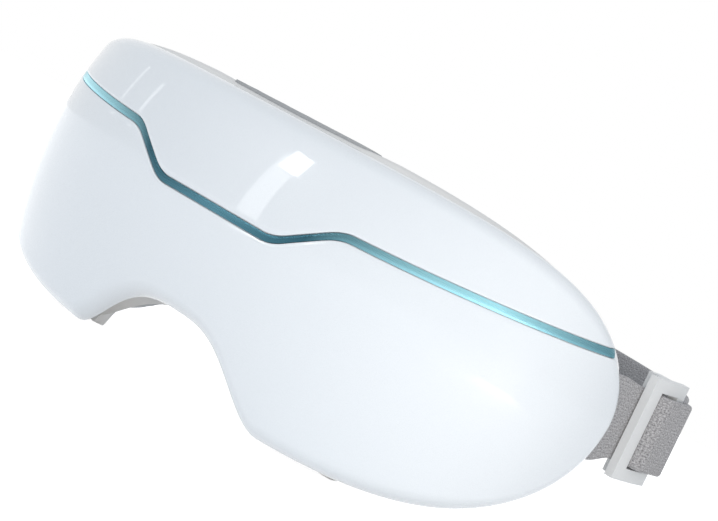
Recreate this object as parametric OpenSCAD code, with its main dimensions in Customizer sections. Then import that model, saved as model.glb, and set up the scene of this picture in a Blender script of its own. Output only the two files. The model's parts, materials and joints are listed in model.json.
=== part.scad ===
// Heated eye massager, worn over the eyes like goggles and held by an elastic strap.
// Z points up as worn, X points to the right in a front view and the front faces -Y.
// The origin lies on the surface the part stands on, under the middle of its bounding box.
// Drawn first with the visor's foremost line at y = 0, then moved back by half the depth.

/* [Visor] */
// Width across the visor's sides
visor_w = 220; // [205:1:235]
// How far the visor's sides sweep back behind its front
visor_sweep = 53; // [48:0.5:58]
// Squareness of the visor's plan curve, where 2 is an ellipse
plan_power = 2.43; // [2.3:0.01:2.6]
// Radius of the visor's bulge from top to bottom
bulge_r = 120; // [100:1:150]
// Height of the bulge's crest
bulge_z = 48.5; // [42:0.5:54]
// Height at which the outline is widest
side_z = 47.9; // [44:0.1:51]
// Rise of the outline from its widest point to its top
top_h = 30.5; // [28:0.1:33]
// Wall of the visor
visor_wall = 2; // [1.6:0.1:2.4]
// Radius of the visor's rounded rim
rim_r = 4; // [3.2:0.1:4.6]

/* [Nose arch] */
// Height of the nose arch
arch_h = 18; // [14:0.5:21]
// Half width of the arch at the visor
arch_w = 42; // [38:1:46]
// Half width of the arch at the back of the housing
back_arch_w = 53; // [49:1:57]
// Widening of the arch for each millimetre of cushion height
arch_flare = 1.35; // [1:0.05:1.6]

/* [Accent strip] */
// Width of the strip
strip_w = 2.6; // [1.8:0.1:3.4]
// Depth of the groove that holds the strip
groove_deep = 0.8; // [0.5:0.1:1.1]
// How far the strip lies below the visor's surface
strip_recess = 0.15; // [0.05:0.05:0.25]
// Height of the strip's low middle
strip_z = 46.8; // [42:0.1:50]
// Half length of the low middle
strip_mid = 24.1; // [18:0.1:28]
// Distance along the visor from its middle to the upper bend
strip_bend = 43; // [38:0.5:50]
// Rise between the two bends
strip_rise = 10.35; // [8:0.05:12]
// Slope of the strip from the upper bend to the side
strip_slope = 0.033; // [0.02:0.001:0.06]
// Extra rise of the strip at the visor's side, over that slope
strip_lift = 6.4; // [4:0.2:9]

/* [Rear housing] */
// How far the housing's rear edge lies inside the visor's sides
back_inset = 14; // [12:0.5:17]
// How far the housing reaches back at the middle
back_mid_y = 20; // [18:0.5:23]
// How far its sides reach behind the visor's sides
back_reach = 12.3; // [9:0.1:14]
// Wall of the housing
shell_wall = 2; // [1.6:0.1:2.4]
// Gap of the seam between visor and housing
seam = 0.25; // [0.15:0.05:0.4]
// Height of the crown on the housing's top
crown_h = 2; // [1.4:0.1:2.6]
// Half length of the crown
crown_half = 78; // [72:1:84]
// How far the crown dips at the control panel
crown_dip = 1.1; // [0.6:0.1:1.5]
// Thickness of the back plate
plate_t = 1.8; // [1.4:0.1:2.2]

/* [Face cushion] */
// Thickness of the cushion frame
frame_t = 3.6; // [2.8:0.1:4.4]
// Width of the frame's ring
frame_ring = 14; // [12:0.5:15]
// Width of the cushion's ring
cushion_ring = 13; // [11:0.5:14]
// Thickness of the cushion at the middle
cushion_mid = 12; // [10:0.5:14]
// Thickness of the cushion at the sides
cushion_side = 20; // [16:0.5:22]

/* [Control panel] */
// Length of the panel
panel_l = 58; // [54:1:62]
// Depth of the panel
panel_d = 8.4; // [7.6:0.1:9.2]
// Height of the panel above the crown where it dips
panel_proud = 1; // [0.8:0.1:1.5]
// Diameter of the buttons
button_d = 5.6; // [4.6:0.1:6]
// Distance between neighbouring buttons
button_pitch = 11; // [9:0.5:12]
// Height of the buttons above the panel
button_proud = 0.1; // [0:0.05:0.5]
// Travel of the buttons
button_travel = 0.7; // [0.4:0.1:0.9]

/* [Eye pads] */
// Radius of an eye pad
pad_r = 16.5; // [14:0.5:17.5]
// Thickness of an eye pad
pad_t = 6; // [4:0.5:7]
// Angle of the pads from the middle, round the back plate's axis
pad_angle = 18; // [17:0.5:20]
// Height of the pads' centres
pad_z = 44.5; // [42:0.5:46]
// Thickness of the airbags at rest
bag_t = 3; // [2:0.2:3.6]

/* [Air pump] */
// Diameter of the pump's motor
pump_d = 19; // [16:0.5:20]
// Length of the pump's motor
pump_l = 25; // [20:1:27]
// Diameter of the air hose
hose_d = 4; // [3:0.2:4.6]

/* [Vibration motors] */
// Diameter of the vibration motors
buzz_d = 7; // [5:0.5:8]
// Length of the vibration motors
buzz_l = 12; // [10:0.5:14]

/* [Battery] */
// Length, height and thickness of the battery
battery_l = 44; // [36:1:48]
battery_h = 30; // [24:1:34]
battery_t = 6; // [4.5:0.5:7]

/* [Strap] */
// Width of the strap
strap_h = 20.5; // [18:0.5:24]
// Thickness of the strap
strap_t = 1.7; // [1.2:0.1:2.2]
// Height of the strap's middle at its anchor pins
strap_z = 48.3; // [46:0.1:52]
// Upward tilt of the strap towards the back
strap_tilt = 6.5; // [0:0.5:10]
// Depth of the strap's loop behind its straight sides
strap_depth = 45; // [38:1:70]
// Diameter of the anchor pins
pin_d = 3; // [2.4:0.1:3.4]

/* [Slider buckles] */
// Height of a slider
slider_h = 28.5; // [27:0.5:31]
// Length of a slider along the strap
slider_l = 15; // [13:0.5:18]
// Thickness of a slider's plate
slider_t = 2.6; // [2:0.1:3]
// Width of a slider's bars
slider_bar = 3.8; // [3:0.1:4.4]

/* [Hidden] */
$fn = 48;

// Exponents of the outline: the top is a blunt arch, the lobes are rounder
top_power = 6;
top_round = 1.74;
low_power = 3.44;
low_round = 2.06;
back_low_power = 3.6;
arch_power = 1.51;
// The lobes reach a little below side_z, so that the visor just clears the surface it stands on
lobe_h = side_z + 0.32;
half_w = visor_w / 2;

// Plan curve of the visor: a quarter superellipse, sampled so that its points are evenly spread
plan_steps = 120;
warp_power = plan_power / 2;
function warp(v) = pow(v, warp_power) / (pow(v, warp_power) + pow(1 - v, warp_power));
plan_t = [for (i = [0:plan_steps]) 90 * warp(i / plan_steps)];
function plan_at(t) = [half_w * pow(sin(t), 2 / plan_power), visor_sweep * (1 - pow(cos(t), 2 / plan_power))];
function plan_turn(t) = t >= 90 ? 90 : atan(visor_sweep / half_w * pow(tan(t), 2 - 2 / plan_power));
plan_pts = [for (t = plan_t) plan_at(t)];
plan_s = [for (i = 0, s = 0; i <= plan_steps;
    s = s + (i < plan_steps ? norm(plan_pts[i + 1] - plan_pts[i]) : 0), i = i + 1) s];
plan_table = [for (i = [0:plan_steps]) [plan_s[i], plan_t[i]]];
s_end = plan_s[plan_steps];

// Point of the visor's family of surfaces: s along the plan curve, z up, off inwards from the surface
function bulge(z) = (z - bulge_z) * (z - bulge_z) / (2 * bulge_r);
function shell_point(s, z, off) =
    let (t = lookup(abs(s), plan_table), p = plan_at(t), a = plan_turn(t), o = off + bulge(z))
    [sign(s) * (p.x - o * sin(a)), p.y + o * cos(a), z];

// Outline heights, with u from -1 to 1 across the width and inset as the distance inside the edge
function blunt(u, power, round) = pow(max(0, 1 - pow(abs(u), power)), 1 / round);
function arch(x, w) = abs(x) < w ? arch_h * (0.5 + 0.5 * cos(180 * pow(abs(x) / w, arch_power))) : 0;
function top_z(u, inset) = side_z + (top_h - inset) * blunt(u, top_power, top_round);
function low_z(u, inset, x, w, power = low_power) =
    side_z - (lobe_h - inset) * blunt(u, power, low_round) + arch(x, w);

// Distance of a point of the visor from its outline, to first order
function inside(s, z) = z >= side_z
    ? 1 - pow(abs(s) / s_end, top_power) - pow((z - side_z) / top_h, top_round)
    : 1 - pow(abs(s) / s_end, low_power) - pow((side_z - z + arch(s, arch_w)) / lobe_h, low_round);
small = 0.01;
function rim_depth(s, z) =
    let (f = inside(s, z), fs = (inside(abs(s) + small, z) - inside(abs(s), z)) / small,
        fz = (inside(s, z >= side_z ? z + small : z - small) - f) / small)
    max(0, f) / norm([fs, fz]);
function rim_off(d) = d >= rim_r ? 0 : rim_r - sqrt(rim_r * rim_r - (rim_r - d) * (rim_r - d));
function rim_in(d) = d >= rim_r ? visor_wall : d <= visor_wall ? rim_r
    : rim_r - sqrt(max(0, pow(rim_r - visor_wall, 2) - pow(rim_r - d, 2)));

// Stations across the width, closer together towards the sides, and the ring of points round an outline
stations = 44;
tip_gap = 0.4;
tip_angle = asin(1 - tip_gap / s_end);
function across(k, m) = sign(k) * sin(tip_angle * pow(abs(k) / m, 1.2));
function ring(m) = concat([for (k = [-m:m]) [across(k, m), 1]], [[1, 0]],
    [for (k = [m:-1:-m]) [across(k, m), -1]], [[-1, 0]]);

// Cylinder that the rear parts follow: its axis is upright behind the face side
back_side_y = visor_sweep + back_reach;
back_half = half_w - back_inset;
back_drop = back_side_y - back_mid_y;
back_r = (back_half * back_half + back_drop * back_drop) / (2 * back_drop);
back_yc = back_mid_y + back_r;
// Crown of the top: a flat hump with a shallow dip along the panel, which fades out within the cushion frame
crown_power = 4;
dip_power = 2;
crown_ease = 1.2;
dip_half = panel_l / 2 + 2;
dip_depth = frame_t + 1;
function hump(x, half, power) = pow(max(0, 1 - pow(abs(x) / half, power)), crown_ease);
function crown(x, rise = 0) = crown_h * hump(x, crown_half, crown_power)
    - crown_dip * hump(x, dip_half, dip_power) * max(0, 1 - rise / dip_depth);

// Points of the seam outline on the visor's family, and of the rear outline on the cylinder
function seam_point(q, inset, off) =
    let (s = (s_end - inset) * q[0], w = arch_w,
        z = q[1] > 0 ? top_z(q[0], inset) : q[1] < 0 ? low_z(q[0], inset, s, w) : side_z)
    shell_point(s, z, off);
function back_z(q, inset, x, w, rise = 0) =
    q[1] > 0 ? top_z(q[0], inset) + crown(x, rise)
    : q[1] < 0 ? low_z(q[0], inset, x, w, back_low_power) : side_z;
function back_point(q, inset, rise, drop = 0) =
    let (x = (back_half - inset) * q[0], a = asin(x / back_r), rho = back_r - rise,
        z = back_z(q, inset, x, back_arch_w + arch_flare * rise, rise) - drop)
    [rho * sin(a), back_yc - rho * cos(a), max(0, z)];

// Closed meshes: a row of rings joined to a point at each end, and a ring of sections
function flat(lists) = [for (l = lists) each l];
function volume6(p, f) = [for (t = f) p[t[0]] * cross(p[t[1]], p[t[2]])] * [for (t = f) 1];
module closed_mesh(points, faces) {
    outward = volume6(points, faces) > 0;
    polyhedron(points, [for (f = faces) outward ? [f[0], f[2], f[1]] : f], convexity = 8);
}
function band_faces(rows, n, loop) = [for (i = [0:rows - (loop ? 1 : 2)], j = [0:n - 1])
    let (a = i * n + j, b = i * n + (j + 1) % n, c = ((i + 1) % rows) * n + j,
        d = ((i + 1) % rows) * n + (j + 1) % n)
    each [[a, b, d], [a, d, c]]];
module tipped_skin(rings, first, last) {
    n = len(rings[0]);
    rows = len(rings);
    closed_mesh(concat(flat(rings), [first, last]), concat(band_faces(rows, n, false),
        [for (j = [0:n - 1]) [rows * n, (j + 1) % n, j]],
        [for (j = [0:n - 1]) [rows * n + 1, (rows - 1) * n + j, (rows - 1) * n + (j + 1) % n]]));
}
module ring_skin(sections) {
    closed_mesh(flat(sections), band_faces(len(sections), len(sections[0]), true));
}

// Places: the whole part, a side, a place in front of or behind the back plate, the strap's plane
strap_gap = 0.15;
side_clear = 0.5;
// The pin lies ahead of the visor's rear edge, and the strap runs straight behind it before it bends
pin_ahead = 11.7;
strap_straight = 20.3;
pin_r = pin_d / 2;
strap_x = half_w - rim_r - side_clear - strap_t / 2;
pin_wrap = pin_r + strap_gap + strap_t / 2;
pin_x = strap_x - pin_wrap - 3.15;
pin_y = visor_sweep - pin_ahead;
strap_bend_y = visor_sweep + strap_straight;
strap_power = 2.6;
strap_back = strap_bend_y + strap_depth + strap_t / 2;
overall_y = pin_y + (strap_back - pin_y) * cos(strap_tilt) + strap_h / 2 * sin(strap_tilt);
module placed() {
    translate([0, -overall_y / 2, 0]) children();
}
module side(s) {
    mirror([s < 0 ? 1 : 0, 0, 0]) children();
}
module on_back(angle, z) {
    translate([0, back_yc, z]) rotate([0, 0, angle]) translate([0, -back_r, 0]) children();
}
module strap_plane() {
    translate([0, pin_y, strap_z]) rotate([strap_tilt, 0, 0]) translate([0, -pin_y, 0]) children();
}
module stadium(l, w, h) {
    linear_extrude(h) union() {
        square([l - w, w], center = true);
        for (s = [-1, 1]) translate([s * (l - w) / 2, 0]) circle(d = w);
    }
}
module ring_tube(r_out, r_in, h) {
    difference() {
        cylinder(r = r_out, h = h);
        translate([0, 0, -1]) cylinder(r = r_in, h = h + 2);
    }
}

// Visor: one closed section at each station, with the groove for the strip sunk in its face
function ramp(u, r) = u <= -r ? 0 : u >= r ? u : (u + r) * (u + r) / (4 * r);
bend_soft = 4;
strip_climb = strip_rise / (strip_bend - strip_mid);
function strip_mid_z(s) = strip_z + strip_climb * ramp(abs(s) - strip_mid, bend_soft)
    + (strip_slope - strip_climb) * ramp(abs(s) - strip_bend, bend_soft)
    + strip_lift * pow(max(0, abs(s) - strip_bend) / (s_end - strip_bend), 2);
groove_draft = 0.15;
strip_tip = 2;
// The strip stops where its upper edge comes near the rim
function strip_on(s) = strip_mid_z(s) + strip_w / 2 + strip_tip < top_z(s / s_end, 0);
function slope_cos(za, zb) = 1 / norm([1, (zb - za) / small]);
function visor_section(s) =
    let (u = s / s_end, zt = top_z(u, 0), zb = low_z(u, 0, s, arch_w), h = zt - zb,
        ct = slope_cos(zt, top_z((abs(s) - small) / s_end, 0)),
        cb = slope_cos(zb, low_z((abs(s) - small) / s_end, 0, abs(s) - small, arch_w)),
        most = 0.3 * h,
        vt = function (d) min(d / ct, most * d / rim_r), vb = function (d) min(d / cb, most * d / rim_r),
        z2 = zb + vb(rim_r), g = strip_on(s) ? groove_deep : 0,
        z4 = min(strip_mid_z(s) + strip_w / 2, zt - min(strip_tip, 0.15 * (zt - z2))),
        z3 = z4 - min(strip_w, 0.25 * (z4 - z2)),
        z5 = zt - min(vt(rim_r), 0.9 * (zt - z4)), top = zt - z5,
        face = function (z, sunk) shell_point(s, z, rim_off(rim_depth(s, z)) + sunk),
        wall = function (z) shell_point(s, z, rim_in(rim_depth(s, z))),
        mid_d = (rim_r + visor_wall) / 2)
    concat(
        [for (d = [0, 0.08, 0.3, 0.6]) face(zb + vb(d * rim_r), 0)],
        [for (f = [0:0.25:1]) face(z2 + f * (z3 - z2), 0)],
        [face(z3 + groove_draft, g), face(z4 - groove_draft, g)],
        [for (f = [0:0.34:1.02]) face(z4 + min(f, 1) * (z5 - z4), 0)],
        [for (d = [0.6, 0.3, 0.08, 0]) face(zt - d * top, 0)],
        [for (d = [visor_wall, mid_d]) wall(zt - d / rim_r * top)],
        [for (f = [1:-0.34:-0.02]) wall(z4 + max(f, 0) * (z5 - z4))],
        [for (f = [1:-0.25:0]) wall(z2 + f * (z3 - z2))],
        [for (d = [mid_d, visor_wall]) wall(zb + vb(d))]);
module front_shell() {
    tip = shell_point(s_end, side_z, rim_r);
    color([0.93, 0.95, 0.97]) placed()
        tipped_skin([for (k = [-stations:stations]) visor_section(s_end * across(k, stations))],
            [-tip.x, tip.y, tip.z], tip);
}

// Strip: fills the groove with a small gap all round, from one side to the other
strip_gap = 0.12;
function strip_section(s) =
    let (lo = strip_mid_z(s) - strip_w / 2 + groove_draft + strip_gap,
        hi = strip_mid_z(s) + strip_w / 2 - groove_draft - strip_gap,
        top = strip_recess, floor = groove_deep - strip_gap)
    [for (p = [[lo, top], [hi, top], [hi, floor], [lo, floor]])
        shell_point(s, p[0], rim_off(rim_depth(s, p[0])) + p[1])];
module accent_strip() {
    ss = [for (k = [-stations:stations]) let (s = s_end * across(k, stations)) if (strip_on(s)) s];
    end = len(ss) - 1;
    function cap(i) = let (q = strip_section(ss[i])) (q[0] + q[1] + q[2] + q[3]) / 4;
    color([0.25, 0.6, 0.68]) placed() tipped_skin([for (s = ss) strip_section(s)], cap(0), cap(end));
}

// Housing: a ring that runs from the seam behind the visor's rim to the cylinder of the rear parts
rise_share = 0.22;
crown_share = 0.85;
function lifted(a, b) = [a.x + (b.x - a.x) * rise_share, a.y + (b.y - a.y) * rise_share,
    a.z + (b.z - a.z) * crown_share];
seam_off = rim_r + seam;
function housing_section(q) =
    let (a0 = seam_point(q, seam, seam_off), a2 = back_point(q, 0, 0),
        b0 = seam_point(q, seam + shell_wall + 0.5, seam_off), b2 = back_point(q, shell_wall, 0))
    [a0, lifted(a0, a2), a2, b2, lifted(b0, b2), b0];
slot_clear = 0.6;
slot_w = 12;
slot_end = visor_sweep + 3.5;
// The strap's sewn end lies this far across from the pin's centre
lay = pin_wrap - strap_t - 0.3;
slot_in = lay - strap_t / 2 - slot_clear;
crown_z = side_z + top_h + crown(0);
panel_margin = 0.6;
panel_y = back_mid_y - panel_d / 2 - panel_margin;
module rear_housing() {
    color([0.88, 0.89, 0.88]) placed() difference() {
        ring_skin([for (q = ring(stations)) housing_section(q)]);
        translate([0, panel_y, crown_z - 8]) stadium(panel_l + 0.4, panel_d + 0.4, 16);
        for (s = [-1, 1]) side(s) strap_plane() translate([0, 0, -strap_h / 2 - slot_clear])
            linear_extrude(strap_h + 2 * slot_clear) polygon([by_pin(0, slot_in), by_pin(0, slot_in + slot_w),
                [strap_x + slot_w, slot_end], [strap_x - strap_t / 2 - slot_clear, slot_end],
                [strap_x - strap_t / 2 - slot_clear, exit_y], by_pin(sewn_l + 1, slot_in)]);
    }
}

// Back plate: a curved plate inside the housing's rear edge, with what it carries moulded on
plate_gap = 0.3;
plate_arch_w = back_arch_w + 4;
function back_outline(inset) = [for (q = ring(stations))
    let (x = (back_half - inset) * q[0]) [x, back_z(q, inset, x, plate_arch_w)]];
module curved_plate(r_in, r_out, inset) {
    intersection() {
        translate([0, back_yc, 0]) ring_tube(r_out, r_in, crown_z + 5, $fn = 180);
        translate([0, back_yc, 0]) rotate([90, 0, 0])
            linear_extrude(back_r + 20) polygon(back_outline(inset));
    }
}
// Parts in front of the plate, with x along it and -y away from the face
front = -plate_t;
board_angle = -12;
board_l = 44;
board_h = 30;
board_z = 47;
board_up = 3.5;
board_t = 1.2;
post_r = 2.2;
screw_r = 0.8;
screw_fit = 0.05;
function board_holes() = [for (x = [-1, 1], z = [-1, 1])
    [x * (board_l / 2 - 3), z * (board_h / 2 - 3)]];
// The curved plate falls away from a flat board by this much at distance x
function plate_fall(x) = (back_r + plate_t) - sqrt(pow(back_r + plate_t, 2) - x * x);
module board_places() {
    on_back(board_angle, board_z) for (h = board_holes()) translate([h[0], 0, h[1]]) children();
}
battery_angle = 12.5;
battery_z = 47;
tray_up = 1.6;
battery_gap = 0.3;
pump_angle = 31.5;
pump_z = 22;
pump_r = pump_d / 2;
pump_out = plate_t + 1 + pump_r;
cradle_t = 2;
valve_angle = -31.5;
valve_z = 26;
valve_size = [12, 10, 18];
valve_out = plate_t + 1 + valve_size.y / 2;
buzz_angle = 22;
buzz_z = 17;
buzz_out = plate_t + 1 + buzz_d / 2;
neck_angle = pad_angle + 6;
neck_z = pad_z + 2;
neck_r = 1.7;
anchor_angle = atan2(pin_x, back_yc - pin_y);
anchor_out = norm([pin_x, back_yc - pin_y]) - back_r;
foot_w = 5.6;
foot_screw_z = strap_h / 2 - 4;
foot_t = 2.4;
module plate_holes() {
    for (s = [-1, 1]) side(s) {
        on_back(neck_angle, neck_z) rotate([90, 0, 0]) translate([0, 0, -5]) cylinder(r = neck_r + 0.2, h = 20);
        for (z = [-1, 1]) on_back(anchor_angle, strap_z + z * foot_screw_z) rotate([90, 0, 0])
            translate([0, 0, -5]) cylinder(r = screw_r + screw_fit, h = 20);
    }
}
module back_plate() {
    sink = 1;
    color([0.8, 0.81, 0.82]) placed() difference() {
        union() {
            curved_plate(back_r, back_r + plate_t, shell_wall + plate_gap);
            board_places() rotate([90, 0, 0]) cylinder(r = post_r, h = plate_t + board_up);
            on_back(battery_angle, battery_z) translate([0, front - tray_up / 2, 0])
                cube([battery_l - 14, tray_up + 2 * sink, battery_h - 8], center = true);
            for (z = [4, pump_l - 6]) on_back(pump_angle, pump_z + z) cradle(pump_r, pump_out);
            for (x = [-4, 4]) side(1) buzz_cradle(x);
            for (x = [-4, 4]) side(-1) buzz_cradle(x);
            on_back(valve_angle, valve_z) translate([-4, -valve_out + valve_size.y / 2 + battery_gap, 4])
                cube([8, valve_out - valve_size.y / 2 - 0.5, 10]);
        }
        plate_holes();
        translate([-panel_l / 2 - 3, panel_y, board2_top - board2_t - 0.6]) cube([panel_l + 6, 20, 20]);
        board_places() rotate([90, 0, 0]) translate([0, 0, plate_t]) cylinder(r = screw_r + screw_fit, h = 20);
        for (s = [-1, 1]) side(s) on_back(anchor_angle, strap_z)
            translate([-foot_w / 2 - 0.3, front - 20, -strap_h / 2 - 3]) cube([foot_w + 0.6, 20, strap_h + 6]);
        on_back(pump_angle, pump_z - 1) translate([0, -pump_out, 0]) cylinder(r = pump_r + 0.3, h = pump_l + 2);
    }
}
// A rib on the plate, cut to a round body's curve
module cradle(r, out) {
    difference() {
        translate([-r * 0.8, -out * 0.75, -cradle_t / 2]) cube([r * 1.6, out * 0.75 - 0.5, cradle_t]);
        translate([0, -out, -cradle_t]) cylinder(r = r + 0.3, h = 2 * cradle_t);
    }
}
module buzz_cradle(x) {
    on_back(buzz_angle, buzz_z) translate([x, 0, 0]) rotate([0, 90, 0])
        cradle(buzz_d / 2, buzz_out);
}

// Cushion frame and cushion: rings that rise from the rear edge towards the face
frame_inset = 1.2;
// Two places on the frame's outer side swell down to the surface that the part stands on
foot_x = 52;
foot_half = 4.2;
foot_drop = 8;
foot_side = 2;
function foot(q) = q[1] >= 0 ? 0
    : foot_drop * exp(-pow((abs(q[0]) * (back_half - frame_inset) - foot_x) / foot_half, 2));
function frame_section(q) = [for (p = [[0.8, 0.1], [0, 0.9], [0, frame_t - 0.8], [0.8, frame_t],
    [frame_ring, frame_t], [frame_ring, 0.1]])
    back_point(q, frame_inset + p[0], p[1], p[0] < foot_side ? foot(q) : 0)];
module cushion_frame() {
    color([0.84, 0.86, 0.87]) placed() ring_skin([for (q = ring(stations)) frame_section(q)]);
}
cushion_stations = 29;
cushion_gap = 0.35;
function smooth(v) = let (c = min(1, max(0, v))) c * c * (3 - 2 * c);
function cushion_t(u) = cushion_mid + (cushion_side - cushion_mid) * smooth((abs(u) - 0.45) / 0.5);
// Outer side, crown and inner side of the cushion, as shares of its width and its thickness
cushion_form = [[0.1, 0], [-0.08, 0.2], [-0.1, 0.45], [-0.02, 0.7], [0.22, 0.93], [0.5, 1], [0.78, 0.93],
    [0.97, 0.68], [1, 0.25], [0.9, 0]];
function cushion_section(q) =
    let (w = cushion_ring, t = cushion_t(q[0]), base = frame_t + cushion_gap)
    [for (p = cushion_form) back_point(q, frame_inset + max(0.02, p[0]) * w, base + p[1] * t)];
module face_cushion() {
    color([0.62, 0.64, 0.66]) placed() ring_skin([for (q = ring(cushion_stations)) cushion_section(q)]);
}

// Control panel: a grey strip let into the crown, flanged below, on which the small board hangs
panel_top = crown_z + panel_proud;
flange_t = 0.8;
flange_end = 2;
flange_in = 1.2;
panel_under = 1.8;
panel_low = crown_z - shell_wall - panel_under;
cap_gap = 0.15;
flange_d = button_d + 1;
flange_h = 0.6;
pocket_top = panel_low + flange_h + 1.3;
button_in = 8;
button_x = -panel_l / 2 + button_in;
function button_at(i) = [button_x + i * button_pitch, panel_y, 0];
port_in = 10;
port_x = panel_l / 2 - port_in;
port_l = 8.9;
port_w = 3.3;
light_x = button_x + 2.6 * button_pitch;
light_r = 0.6;
board2_drop = 2.2;
board2_top = panel_low - board2_drop;
board2_t = 1;
board2_w = panel_d - 1.2;
switch_h = 1;
module control_panel() {
    color([0.6, 0.62, 0.63]) placed() difference() {
        union() {
            translate([0, panel_y, panel_low]) stadium(panel_l, panel_d, panel_top - panel_low);
            translate([-panel_l / 2 - flange_end, panel_y - panel_d / 2 + flange_in, panel_low])
                cube([panel_l + 2 * flange_end, panel_d - 2 * flange_in, flange_t]);
            for (s = [-1, 1]) translate([s * (panel_l / 2 - 2.5), panel_y, board2_top + 0.05])
                cylinder(d = 2.4, h = panel_low + 1 - board2_top);
        }
        for (i = [0:2]) translate(button_at(i)) {
            translate([0, 0, panel_low - 1]) cylinder(d = button_d + 2 * cap_gap, h = 10);
            translate([0, 0, panel_low - 1]) cylinder(d = flange_d + 2 * cap_gap, h = pocket_top - panel_low + 1);
        }
        translate([port_x, panel_y, panel_low - 1]) stadium(port_l + 0.3, port_w + 0.3, 10);
        translate([light_x, panel_y, panel_low - 1]) cylinder(r = light_r + 0.1, h = 10);
    }
}
// A button: cap, flange that keeps it in, and a stem over its switch
module button(i) {
    stem_low = board2_top + switch_h + button_travel + 0.1;
    color([0.72, 0.74, 0.75]) placed() translate(button_at(i)) {
        translate([0, 0, pocket_top - 0.1 - flange_h]) cylinder(d = flange_d, h = flange_h);
        translate([0, 0, pocket_top - 0.1 - flange_h])
            cylinder(d = button_d, h = panel_top + button_proud - pocket_top + 0.1 + flange_h);
        translate([0, 0, stem_low]) cylinder(d = 2, h = pocket_top - stem_low);
    }
}
module indicator_light() {
    color([0.75, 0.9, 0.95]) placed() translate([light_x, panel_y, board2_top])
        cylinder(r = light_r, h = panel_top - board2_top - 0.05);
}
module button_board() {
    color([0.1, 0.35, 0.22]) placed() {
        translate([-panel_l / 2 + 1, panel_y - board2_w / 2, board2_top - board2_t])
            cube([panel_l - 2, board2_w, board2_t]);
        for (i = [0:2]) translate(button_at(i)) translate([0, 0, board2_top - 0.5])
            cylinder(d = 4, h = 0.5 + switch_h);
    }
}
module usb_port() {
    color([0.75, 0.76, 0.78]) placed() translate([port_x, panel_y, board2_top]) difference() {
        stadium(port_l, port_w, panel_top - board2_top - 0.1);
        translate([0, 0, 1]) stadium(port_l - 0.6, port_w - 0.6, 20);
    }
}

// Main board on its posts, and battery on its pad
module main_board() {
    out = plate_t + board_up;
    color([0.1, 0.35, 0.22]) placed() difference() {
        on_back(board_angle, board_z) union() {
            translate([-board_l / 2, -out - board_t, -board_h / 2]) cube([board_l, board_t, board_h]);
            for (c = [[-9, 4, 9, 9, 1.4], [6, 3, 6, 5, 1.2], [8, -8, 11, 6, 2.2], [-12, -9, 5, 4, 1.6]])
                translate([c[0] - c[2] / 2, -out - board_t - c[4], c[1] - c[3] / 2])
                    cube([c[2], c[4] + 0.4, c[3]]);
        }
        board_places() rotate([90, 0, 0]) cylinder(r = screw_r + 0.15, h = 20);
    }
}
module battery_pack() {
    out = plate_t + tray_up / 2 + 1 + battery_gap + tray_up / 2;
    color([0.3, 0.42, 0.6]) placed() on_back(battery_angle, battery_z)
        translate([0, -out - battery_t / 2, 0]) rotate([90, 0, 0])
            linear_extrude(battery_t, center = true) offset(r = 2) square([battery_l - 4, battery_h - 4], center = true);
}

// Air pump: motor can, rotor with an eccentric, and the head with its two nozzles
rotor_r = 1;
head_l = 15;
head_r = pump_r + 0.5;
head_low = pump_l + 0.3;
chamber_h = 8;
eccentric = 1.2;
hose_out = 8;
hose_z = pump_z + pump_l + head_l + 6.5;
module at_pump() {
    on_back(pump_angle, pump_z) translate([0, -pump_out, 0]) children();
}
module pump_motor() {
    color([0.7, 0.71, 0.73]) placed() at_pump() difference() {
        union() {
            cylinder(r = pump_r, h = pump_l - 1);
            translate([0, 0, pump_l - 1.5]) cylinder(r = pump_r * 0.4, h = 1.5);
            for (s = [-1, 1]) translate([s * 4 - 0.4, -1, -3]) cube([0.8, 2, 4]);
        }
        translate([0, 0, pump_l - 8]) cylinder(r = rotor_r + 0.05, h = 10);
    }
}
module pump_head() {
    color([0.85, 0.86, 0.88]) placed() at_pump() translate([0, 0, head_low]) difference() {
        union() {
            cylinder(r = head_r, h = head_l);
            for (s = [-1, 1]) translate([s * 4.5, pump_out - hose_out, head_l - 1]) cylinder(r = 1.5, h = 4.5);
        }
        translate([0, 0, -1]) cylinder(r = head_r - 1.6, h = chamber_h + 1);
        for (s = [-1, 1]) translate([s * 4.5, pump_out - hose_out, 1]) cylinder(r = 0.7, h = 30);
    }
}
module pump_rotor() {
    color([0.6, 0.6, 0.62]) placed() at_pump() {
        translate([0, 0, pump_l - 7]) cylinder(r = rotor_r, h = 11);
        translate([eccentric, 0, pump_l + 1.3]) cylinder(r = 4.5, h = 4);
    }
}

// Release valve: a block with a bore in which a sprung plunger slides
plunger_r = 2;
plunger_travel = 1.5;
module at_valve() {
    on_back(valve_angle, valve_z) translate([0, -valve_out, 0]) children();
}
module valve_body() {
    color([0.2, 0.21, 0.23]) placed() at_valve() difference() {
        union() {
            translate([-valve_size.x / 2, -valve_size.y / 2, 0]) cube(valve_size);
            translate([0, valve_out - hose_out, valve_size.z - 1])
                cylinder(r = 1.5, h = hose_z - valve_z - valve_size.z - 1);
        }
        translate([0, 0, -1]) cylinder(r = plunger_r + 0.05, h = 11);
        translate([0, valve_out - hose_out, 5]) cylinder(r = 0.7, h = 60);
    }
}
module valve_plunger() {
    color([0.75, 0.76, 0.78]) placed() at_valve() {
        translate([0, 0, -2]) cylinder(r = plunger_r, h = 10);
        translate([0, 0, -3]) cylinder(r = plunger_r + 1, h = 1);
    }
}

// Air hose: an arc round the back plate's axis, with a drop to the pump, the valve and each airbag
hose_r = hose_d / 2;
hose_bore = 1.2;
joint_r = hose_r + 0.7;
pump_nozzle_angle = pump_angle - atan(4.5 / (back_r + hose_out));
module hose_drop(angle, low, bore) {
    on_back(angle, low) translate([0, -hose_out, 0]) cylinder(r = bore, h = hose_z - low);
}
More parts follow.
